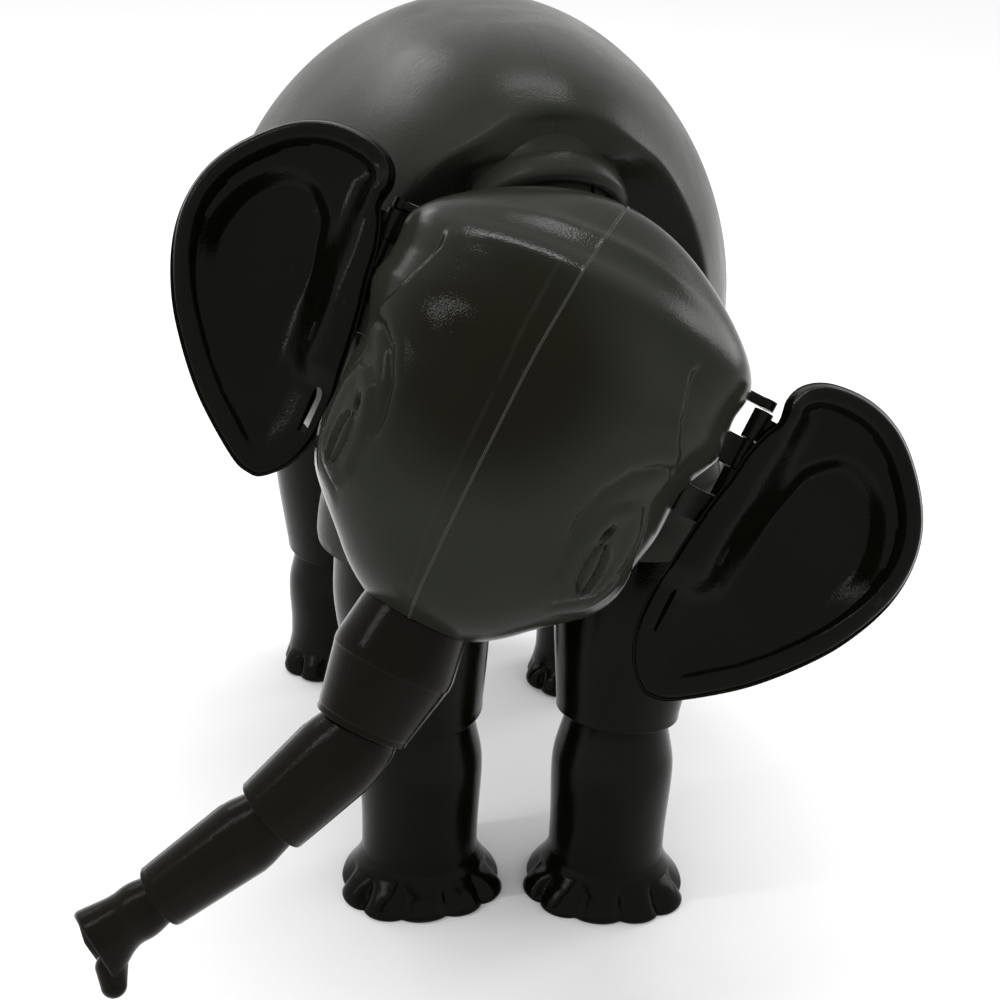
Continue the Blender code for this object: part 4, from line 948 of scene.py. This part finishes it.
def makeNeck():
    studAt = studPlace()
    socket = neckPlace()
    centre = socket.translation
    seat = studAt @ Vector((0, 0, neckForm["arm"]))
    rise = centre - seat
    pinAxis = socket.to_3x3().col[2].cross(centre - seat).normalized()
    if pinAxis.x < 0:
        pinAxis = -pinAxis
    place = jointAxes(pinAxis, rise, centre)
    piece = ball("neckBall", neckForm["ball"], centre, 128, 64)
    joinOn(piece, rod("neckArm", neckForm["arm"], 0, rise.length, along(rise, seat), 96))
    heel = ball("neckHeel", neckForm["arm"], seat, 96, 48)
    trimRoom = neckForm["arm"] * 2
    cutAway(heel, rod("trim", trimRoom, -trimRoom, joints["gap"], studAt))
    joinOn(piece, heel)
    inside = -neckForm["studLength"]
    joinOn(piece, rod("neckStud", neckForm["stud"], inside, neckForm["arm"], studAt))
    joinOn(piece, rod("neckFlange", neckForm["flange"], inside, inside + neckForm["flangeThick"], studAt))
    cutBall(piece, neckForm["ball"], place)
    # the dome's cap line, a narrow groove beside the middle
    groove = rod("groove", neckForm["ball"] * 1.2, 0.0062, 0.0071, Matrix.Translation(centre) @ turned("Y", 90), 96)
    core = ball("core", neckForm["ball"] - 0.0011, centre, 96, 48)
    cutAway(groove, core)
    cutAway(piece, groove)
    finishPiece(piece, "neck", ["neck"], material=litPlastic)


makeNeck()
print("neck done")


# ---- ears

def closedCurve(corners, steps):
    count = len(corners)
    made = []
    for step in range(steps):
        position = step * count / steps
        index = int(position)
        t = position - index
        a, b, c, d = (np.array(corners[(index + k) % count]) for k in (-1, 0, 1, 2))
        square, cube = 2 * a - 5 * b + 4 * c - d, 3 * b - a - 3 * c + d
        made.append((2 * b + (c - a) * t + square * t ** 2 + cube * t ** 3) / 2)
    return np.array(made)


earRelief = {
    "middle": (0.40, -0.06), "bead": 0.0026, "beadHalf": 0.0023, "slope": 0.0014, "bowl": 0.0028, "wall": 0.0015,
    "bowlLine": ((0.24, 0.05), (0.31, 0.15), (0.46, 0.222), (0.65, 0.200), (0.80, 0.10), (0.86, -0.05), (0.80, -0.20),
                 (0.58, -0.42), (0.28, -0.56), (0.06, -0.50), (-0.02, -0.34), (0.12, -0.12)),
    "fold": ((0.30, -0.02), (0.52, 0.0), (0.74, -0.03)), "strip": 0.0031,
}


def earSkin(name, side):
    form = earForm
    relief = earRelief
    segments, rings = form["segments"], form["rings"]
    scale = np.array([form["span"], form["height"]])
    fine = closedCurve(form["outline"], 2400) * scale
    middle = np.array(relief["middle"]) * scale
    # rows run straight from the middle to the edge, at even angles
    angles = np.arctan2(fine[:, 1] - middle[1], fine[:, 0] - middle[0])
    order = np.argsort(angles)
    wanted = np.arange(segments) * 2 * math.pi / segments
    wanted = (wanted + math.pi) % (2 * math.pi) - math.pi
    reach = np.interp(wanted, angles[order], np.linalg.norm(fine - middle, axis=1)[order], period=2 * math.pi)
    half = rings // 2
    rows = np.arange(rings + 1)
    inner = 1 - np.abs(rows - half) / half  # 0 in the middle of each face, 1 at the edge
    share = np.sin(inner * math.pi / 2) ** 0.9
    x = middle[0] + share[:, None] * reach[None, :] * np.cos(wanted)[None, :]
    z = middle[1] + share[:, None] * reach[None, :] * np.sin(wanted)[None, :]
    outline = [tuple(point) for point in fine[::12]]
    edge, _ = lineDistance(x, z, outline + [outline[0]])
    edge = np.where(share[:, None] >= 0.99999, 0, edge)
    u, w = x / form["span"], z / form["height"]
    # the rolled rim is full along the top and the outer edge, and runs out below and at the hinge
    bead = 0.10 + 0.90 * rampUp(w - 0.55 * (u - 0.9), -0.32, 0.02)
    bead = bead * (1 - rampUp(-u, -0.30, -0.16) * (1 - rampUp(w, 0.16, 0.27))) + 0.02
    across = (edge - relief["beadHalf"]) / relief["beadHalf"]
    roll = relief["bead"] * bead * np.sqrt(np.clip(1 - across ** 2, 0, 1))
    roll -= 0.00012 * bead * bump(edge - 2.35 * relief["beadHalf"], 0.0009)
    bowlLine = [tuple(point) for point in closedCurve(relief["bowlLine"], 120) * scale]
    depth = insideShape(x, z, bowlLine)
    soft = 0.0034 + 0.009 * rampUp(-w, 0.0, 0.30) + 0.004 * rampUp(-u, -0.34, -0.20)
    bowl = relief["bowl"] * rampUp(depth / soft, -0.25, 1.0) * (1 - 0.35 * rampUp(-w, 0.15, 0.45))
    slope = relief["slope"] * rampUp(edge, 0.0030, 0.0105)
    foldAway, foldShare = lineDistance(x, z, [tuple(np.array(p) * scale) for p in relief["fold"]])
    fold = 0.0004 * bump(foldAway, 0.0009) * rampUp(foldShare, 0, 0.2) * rampUp(foldShare, 1, 0.8)
    front = -0.0008 - roll + slope + bowl + (fold if side > 0 else 0)
    front -= relief["strip"] * rampUp(-x, -0.0105, -0.0028) * rampUp(np.abs(z), 0.0230, 0.0160)  # ahead of the hinge
    thick = relief["wall"] * np.sqrt(np.clip(1 - (1 - edge / 0.0009).clip(0, 1) ** 2, 0, 1))
    back = front + thick + roll * 0.55
    rolled = rampUp(edge, 0, 0.0011)
    core = front + thick * 0.5 + roll * 0.35
    isFront = (rows < half)[:, None]
    y = core + (np.where(isFront, front, back) - core) * rolled
    y = np.where((rows == half)[:, None], core, y)
    grid = np.stack([side * x, y, z], axis=-1)
    piece = gridBall(name, segments, rings, grid)
    piece.data.transform(earPlace(side))
    return piece


def makeEar(side):
    word = "Left" if side > 0 else "Right"
    node = "ear_" + word.lower()
    piece = earSkin("ear" + word, side)
    heights, half = knuckleHeights()
    at = earPlace(side)
    arms = []
    for index in (0, 2, 4):
        height = heights[index]
        reach = earForm["lugReach"] + earForm["rim"]
        size = (reach, earForm["knuckle"] * 1.5, half * 1.4)
        arms += [block("arm", size, (side * reach / 2, 0, height), at, 0.0004)]
        arms += [rod("knuckle", earForm["knuckle"], height - half, height + half, at)]
    joinOn(piece, asOne(*arms))
    reach = earForm["hingeLength"]
    cutAway(piece, rod("pinHole", earForm["pin"] + joints["gap"], -reach, reach, at))
    finishPiece(piece, node, [node])


makeEar(1)
makeEar(-1)
print("ears done")


# ---- trunk

trunkLook = {
    "bandHigh": 0.0016, "bandStep": 0.00022, "seamRise": 0.00010, "tipLength": 0.0135, "tipWaist": 0.0048,
    "tipMouth": 0.0062, "tipWall": 0.0008, "tipLip": 0.0032, "tipDroop": 0.10, "nearSlant": 0.33, "farSlant": 0.58,
    "fingerRadii": (0.0030, 0.0024), "fingerRoot": (0, -0.0058, -0.0128), "fingerEnd": (0, -0.0088, -0.0143),
}


def tubeShoulder(radius, shoulder, band):
    line = [(r, z, 0) for r, z in ballLine(radius, 80, 16)]
    low = -radius * 0.55
    if band:
        line.append((shoulder, low, 0.0006))
        line.append((shoulder - 0.00006, low - band, 0.0002))
        line.append((shoulder - trunkLook["bandStep"], low - band - 0.0003, 0.0002))
    else:
        line.append((shoulder, low, 0.0016))
    return line


def raiseSeam(piece, place, rise, skinLine, width=0.00022):  # a fine parting line on the sides of a turned piece
    takeUp(piece)
    bpy.ops.object.mode_set(mode="EDIT")
    normal = place.to_3x3().col[0]
    for offset in (-width, width):
        bpy.ops.mesh.select_all(action="SELECT")
        bpy.ops.mesh.bisect(plane_co=place.translation + normal * offset, plane_no=normal)
    bpy.ops.object.mode_set(mode="OBJECT")
    points = pointsOf(piece)
    away = place.inverted()
    local = points @ np.array(away.to_3x3()).T + np.array(away.translation)
    heights, radii = zip(*sorted(skinLine))
    outside = np.hypot(local[:, 0], local[:, 1]) > np.interp(local[:, 2], heights, radii)
    chosen = (np.abs(local[:, 0]) < width * 0.6) & outside  # only the outer wall carries the line
    sideways = np.sign(local[:, 1]) * chosen
    setPoints(piece, points + sideways[:, None] * rise * np.array(place.to_3x3().col[1])[None, :])


def makeTrunkTube(index):
    links, tubes = trunkPlaces()
    place = tubes[index]
    radius = trunkForm["balls"][index]
    shoulder = trunkForm["shoulders"][index]
    node = "trunk_segment_%d" % (index + 1)
    below = trunkForm["balls"][index + 1]
    rim = trunkForm["rims"][index]
    rimZ = -trunkForm["pitches"][index] + below * joints["rimLift"]
    wall = rim - below - joints["gap"]
    corners = tubeShoulder(radius, shoulder, trunkLook["bandHigh"] if index == 0 else 0)
    corners.append((rim + (shoulder - rim) * 0.05, rimZ + 0.0014, 0.0004))
    piece = spun("trunkTube%d" % (index + 1), softCorners(corners + tubeInside(rim, rimZ, wall, below)), place, 96)
    skinLine = ((0, 1), (-radius * 0.55 - 0.0004, shoulder * 0.97), (rimZ + 0.001, rim * 0.97), (rimZ - 1, rim))
    raiseSeam(piece, place, trunkLook["seamRise"], skinLine)
    cutBall(piece, radius, place)
    finishPiece(piece, "trunk_%d" % (index + 1), [node], material=trunkPlastic)


def trunkFinger(place):  # a tapered, round-ended stub
    thick, thin = trunkLook["fingerRadii"]
    root, end = Vector(trunkLook["fingerRoot"]), Vector(trunkLook["fingerEnd"])
    line = []
    for step in range(49):
        angle = math.pi * step / 48
        radius, centre = (thick, 0) if step < 24 else (thin, (end - root).length)
        line.append((radius * math.sin(angle), centre - radius * math.cos(angle)))
    return spun("finger", line, place @ along(end - root, root), 64)


def makeTrunkTip():
    look = trunkLook
    place = trunkPlaces()[1][3]
    radius = trunkForm["balls"][3]
    length, waist, mouth, wall = look["tipLength"], look["tipWaist"], look["tipMouth"], look["tipWall"]
    outer = softCorners(tubeShoulder(radius, trunkForm["shoulders"][3], 0) + [
        (waist * 1.06, -length * 0.45, 0.0022), (mouth * 0.97, -length * 0.86, 0.0018),
        (mouth, -length * 0.955, 0.0006), (mouth - wall * 0.5, -length, 0)], 7)
    inner = softCorners([
        (mouth - wall * 0.5, -length, 0), (mouth - wall * 1.1, -length * 0.975, 0.0003),
        (mouth - wall * 1.5, -length * 0.80, 0.0016),
        (waist - 1.8 * wall, -length * 0.50, 0.0008), (0, -length * 0.44, 0)], 7)
    piece = spun("trunkTip", outer + inner[1:], Matrix(), 128)
    points = pointsOf(piece)
    around = np.hypot(points[:, 0], points[:, 1])
    heights, radii = zip(*sorted((height, reach) for reach, height in outer[-40:]))
    isInner = (around < np.interp(points[:, 2], heights, radii) - wall * 0.45) & (points[:, 2] < -length * 0.43)
    start = length * 0.40
    depth = np.clip((-points[:, 2] - start) / (length - start), 0, 1.0)
    side = np.clip(-points[:, 1] / np.maximum(waist, around), 0, 1)
    lip = look["tipLip"] * side ** 2.4 * depth ** 1.7 * np.where(isInner, 0.10, 1)
    points[:, 1] -= lip
    points[:, 2] -= lip * look["tipDroop"]
    points[:, 0] *= 1 - 0.22 * side ** 2 * depth ** 2  # the finger is narrower than the mouth
    above = np.clip(points[:, 1] / np.maximum(waist, around), 0, 1)
    slant = np.where(points[:, 0] < 0, look["nearSlant"], look["farSlant"] * (1 - 0.45 * above))
    points[:, 2] -= slant * points[:, 0] * depth ** 1.4  # the mouth is cut aslant, shorter on the near side
    setPoints(piece, points)
    piece.data.transform(place)
    joinOn(piece, trunkFinger(place))
    cutBall(piece, radius, place)
    finishPiece(piece, "trunk_4", ["trunk_segment_4"], material=trunkPlastic)


for tubeIndex in range(3):
    makeTrunkTube(tubeIndex)
makeTrunkTip()
print("trunk done")


# ---- legs

footLook = {
    "toes": (-72, -41, -7, 28, 60), "toeWide": (15, 16, 20, 16, 16), "toeRise": 0.0015, "gapDeep": 0.0006,
    "nailRise": 0.0003, "rows": 30, "high": 0.0098, "ahead": 0.0024, "shorten": 0.17,
}


def makeThigh(leg, places):
    radius = legForm["hipBall"]
    length = places["length"]
    rim, below = legForm["kneeRim"], legForm["kneeBall"]
    rimZ = -length + below * joints["rimLift"]
    corners = [(r, z, 0) for r, z in ballLine(radius, 84, 20)]
    corners += [(legForm["thigh"], -radius * 0.45, 0.004), (legForm["thigh"] * 0.96, -length * 0.45, 0.008)]
    corners += [(rim + 0.0001, rimZ + 0.0022, 0.0006)]
    corners += tubeInside(rim, rimZ, rim - below - joints["gap"], below)
    piece = spun("upperLeg_" + leg, softCorners(corners), places["thigh"], 112)
    skinLine = ((0, 1), (-radius * 0.6, legForm["thigh"] * 0.95), (rimZ + 0.0015, rim * 0.985), (rimZ - 1, rim))
    raiseSeam(piece, places["thigh"] @ turned("Z", 20), 0.00008, skinLine)
    cutBall(piece, radius, places["thigh"])
    finishPiece(piece, "thigh_" + leg, ["upper_leg_" + leg])


def makeShin(leg, places):
    look = footLook
    radius = legForm["kneeBall"]
    kneeZ, foot = places["kneeZ"], places["foot"]
    high = look["high"]
    ankle = legForm["ankle"]
    corners = [(r, z, 0) for r, z in ballLine(radius, 80, 16)]
    corners += [(legForm["shin"], -radius * 0.62, 0.0026), (legForm["shin"] * 1.01, -radius * 1.05, 0.003)]
    corners += [(ankle, -(kneeZ - high) * 0.8, 0.004)]
    line = softCorners(corners + [(ankle, high - kneeZ + 0.002, 0)])
    for step in range(1, look["rows"] + 1):
        share = 1 - step / look["rows"]
        flare = (1 - share) ** 1.7 * 1.03
        rounded = 0.0012 * (1 - min(1, share * high / 0.0012)) ** 2
        line.append((ankle + (foot - ankle) * flare - rounded, high * share - kneeZ))
    line += [(foot * 0.80, -kneeZ), (0, -kneeZ)]
    piece = spun("lowerLeg_" + leg, line, Matrix(), 192)
    points = pointsOf(piece)
    height = points[:, 2] + kneeZ
    around = np.hypot(points[:, 0], points[:, 1])
    low = np.clip(1 - height / high, 0, 1) * (around > ankle / 2)
    ahead = np.clip(-points[:, 1] / np.maximum(around, 1e-9), 0, 1)
    aside = np.abs(points[:, 0]) / np.maximum(around, 1e-9)
    square = np.where(ahead > 0, (ahead ** 3 + aside ** 3) ** (-1 / 3) - 1, 0)
    points[:, :2] *= (1 + 0.50 * square * low)[:, None]
    points[:, 1] *= 1 - look["shorten"] * low * (ahead > 0)
    # toes: rounded lobes with creases between, each with a blunt nail
    turn = np.degrees(np.arctan2(points[:, 0], -points[:, 1]))
    lobe = np.zeros(len(points))
    for middle, wide in zip(look["toes"], look["toeWide"]):
        lobe = np.maximum(lobe, np.clip(1 - ((turn - middle) / wide) ** 2, 0, 1) ** 0.7)
    reach = rampUp(np.abs(turn + 6), 96, 78)
    upDown = np.sqrt(rampUp(height, 0.0082 - 0.000035 * np.abs(turn + 6), 0.0030))
    upDown = upDown * (0.75 + 0.25 * rampUp(height, 0.0, 0.002))
    outerSkin = around > ankle * 0.93
    push = (look["toeRise"] * lobe - look["gapDeep"] * (1 - lobe)) * reach * upDown * outerSkin
    nail = rampUp(lobe, 0.55, 0.90) * rampUp(height, 0.0010, 0.0022) * rampUp(height, 0.0058, 0.0044)
    push += look["nailRise"] * nail * reach * outerSkin
    grow = 1 + push / np.maximum(np.hypot(points[:, 0], points[:, 1]), 1e-6)
    points[:, :2] *= grow[:, None]
    points[:, 1] -= look["ahead"] * low
    setPoints(piece, points)
    piece.data.transform(places["shin"])
    cutBall(piece, radius, places["knee"])
    finishPiece(piece, "shin_" + leg, ["lower_leg_" + leg])


for legName in legForm["feet"]:
    legAt = legPlaces(legName)
    makeThigh(legName, legAt)
    makeShin(legName, legAt)
print("legs done")


# ---- tail

def makeTail():
    form = tailForm
    rows = 90
    segments = 64
    line = []
    for index in range(rows + 1):
        part = index / rows
        out = form["length"] * (form["start"] + form["bow"] * math.sin(math.pi * part * form["turn"]))
        down = form["length"] * (form["drop"] + (1 - form["drop"]) * part)
        radius = form["root"] + (form["tip"] - form["root"]) * part
        tuft = max(0, part - form["tuftShare"]) / (1 - form["tuftShare"])
        radius += (form["tuft"] - form["tip"]) * math.sin(math.pi * tuft)
        if part > 0.96:
            radius *= math.sqrt(max(0.0, 1 - ((part - 0.96) / 0.04) ** 2)) * 0.999 + 0.001
        if part < 0.02:
            radius *= 0.80 + 10 * part
        line.append((out, -down, radius, tuft))
    angles = np.arange(segments) * 2 * math.pi / segments
    grid = np.zeros((rows + 3, segments, 3))
    for index, (out, down, radius, tuft) in enumerate(line):
        strands = 0.998 + 0.09 * (np.cos(angles * 9 + 3 * tuft) - 1) * min(1, tuft * 3)
        x, y = radius * strands * np.cos(angles), out + radius * strands * np.sin(angles)
        grid[index + 1] = np.stack([x, y, np.full(segments, down)], axis=-1)
    grid[0] = grid[1].mean(axis=0)
    grid[-1] = grid[-2].mean(axis=0)
    piece = gridBall("tailSwitch", segments, rows + 2, grid)
    place = Matrix.Translation(tailHinge())
    piece.data.transform(place)
    radius = form["root"] - joints["gap"]
    eye = crossRod("eye", radius, form["eye"] / 2, place, 48)
    reach, low = line[0][0], line[0][1]
    joinOn(eye, block("eyeArm", (form["eye"], reach, radius - low), (0, reach / 2, (radius / 2 + low) / 2), place))
    joinOn(piece, eye)
    cutAway(piece, crossRod("eyeHole", form["pin"] + joints["gap"], form["eye"], place))
    finishPiece(piece, "tail", ["tail"])


makeTail()
print("tail done")


# ---- the frame's own links and pins stay, with their finishes

for nodeName, node in frame["nodes"].items():
    if "link" in nodeName:
        node.data.materials.clear()
        node.data.materials.append(innerPlastic)
    elif "pin" in nodeName:
        node.data.materials.clear()
        node.data.materials.append(pinSteel)


# ---- floor, light and camera

studio = {
    "floor": 3.2, "floorColour": (0.93, 0.93, 0.93), "world": 1.0,
    "camera": (-0.06848, -0.3421, 0.236), "pitch": 25, "yaw": -12, "roll": 2.5, "lens": 56.52,
}


def studioFloor():
    dropSelection()
    bpy.ops.mesh.primitive_circle_add(vertices=128, radius=studio["floor"], fill_type="NGON", location=(0, 0, 0))
    floor = justAdded("floor")
    made = bpy.data.materials.new("paleFloor")
    made.use_nodes = True
    tree = made.node_tree
    shader = tree.nodes["Principled BSDF"]
    shader.inputs["Base Color"].default_value = (*studio["floorColour"], 1)
    shader.inputs["Roughness"].default_value = 0.9
    shader.inputs["Specular IOR Level"].default_value = 0.1
    floor.data.materials.append(made)


def softLight(name, at, target, size, power):
    dropSelection()
    bpy.ops.object.light_add(type="AREA", location=at)
    lamp = bpy.context.object
    lamp.name = name
    lamp.data.shape = "RECTANGLE"
    lamp.data.size, lamp.data.size_y = size
    lamp.data.energy = power
    lamp.rotation_euler = (Vector(target) - Vector(at)).to_track_quat("-Z", "Y").to_euler()


def studioWorld():
    world = bpy.data.worlds.new("studio")
    bpy.context.scene.world = world
    world.use_nodes = True
    back = world.node_tree.nodes["Background"]
    back.inputs["Color"].default_value = (1, 1, 1, 1)
    back.inputs["Strength"].default_value = studio["world"]


def studioCamera():
    pitch, yaw, roll = (math.radians(studio[key]) for key in ("pitch", "yaw", "roll"))
    level = Vector((-math.sin(yaw), math.cos(yaw), 0))
    sideways = Vector((math.cos(yaw), math.sin(yaw), 0))
    forward = level * math.cos(pitch) + Vector((0, 0, -math.sin(pitch)))
    upward = sideways.cross(forward)
    right = sideways * math.cos(roll) + upward * math.sin(roll)
    up = -sideways * math.sin(roll) + upward * math.cos(roll)
    dropSelection()
    bpy.ops.object.camera_add(location=(0, 0, 0))
    camera = bpy.context.object
    camera.name = "photoCamera"
    camera.data.lens = studio["lens"]
    camera.data.sensor_width = 36
    camera.data.clip_start = 0.01
    camera.data.clip_end = 20
    at = standing @ Vector(studio["camera"])
    camera.matrix_world = Matrix.Translation(at) @ Matrix((right, up, -forward)).transposed().to_4x4()
    bpy.context.scene.camera = camera


studioFloor()
studioWorld()
studioCamera()
softLight("topLight", (0.06, 0.30, 0.95), (0, 0, 0.1), (0.55, 0.07), 3.2)
softLight("shoulderLight", (-0.42, 0.85, 0.62), (0, 0, 0.15), (0.50, 0.14), 1.1)
softLight("stripLight", (-0.55, -0.10, 0.75), (-0.05, -0.08, 0.05), (0.022, 0.55), 1.5)
softLight("sideLight", (0.80, 0.30, 0.40), (0, 0, 0.1), (0.30, 0.50), 1.6)
bpy.context.scene.view_settings.view_transform = "Standard"
print("studio done")
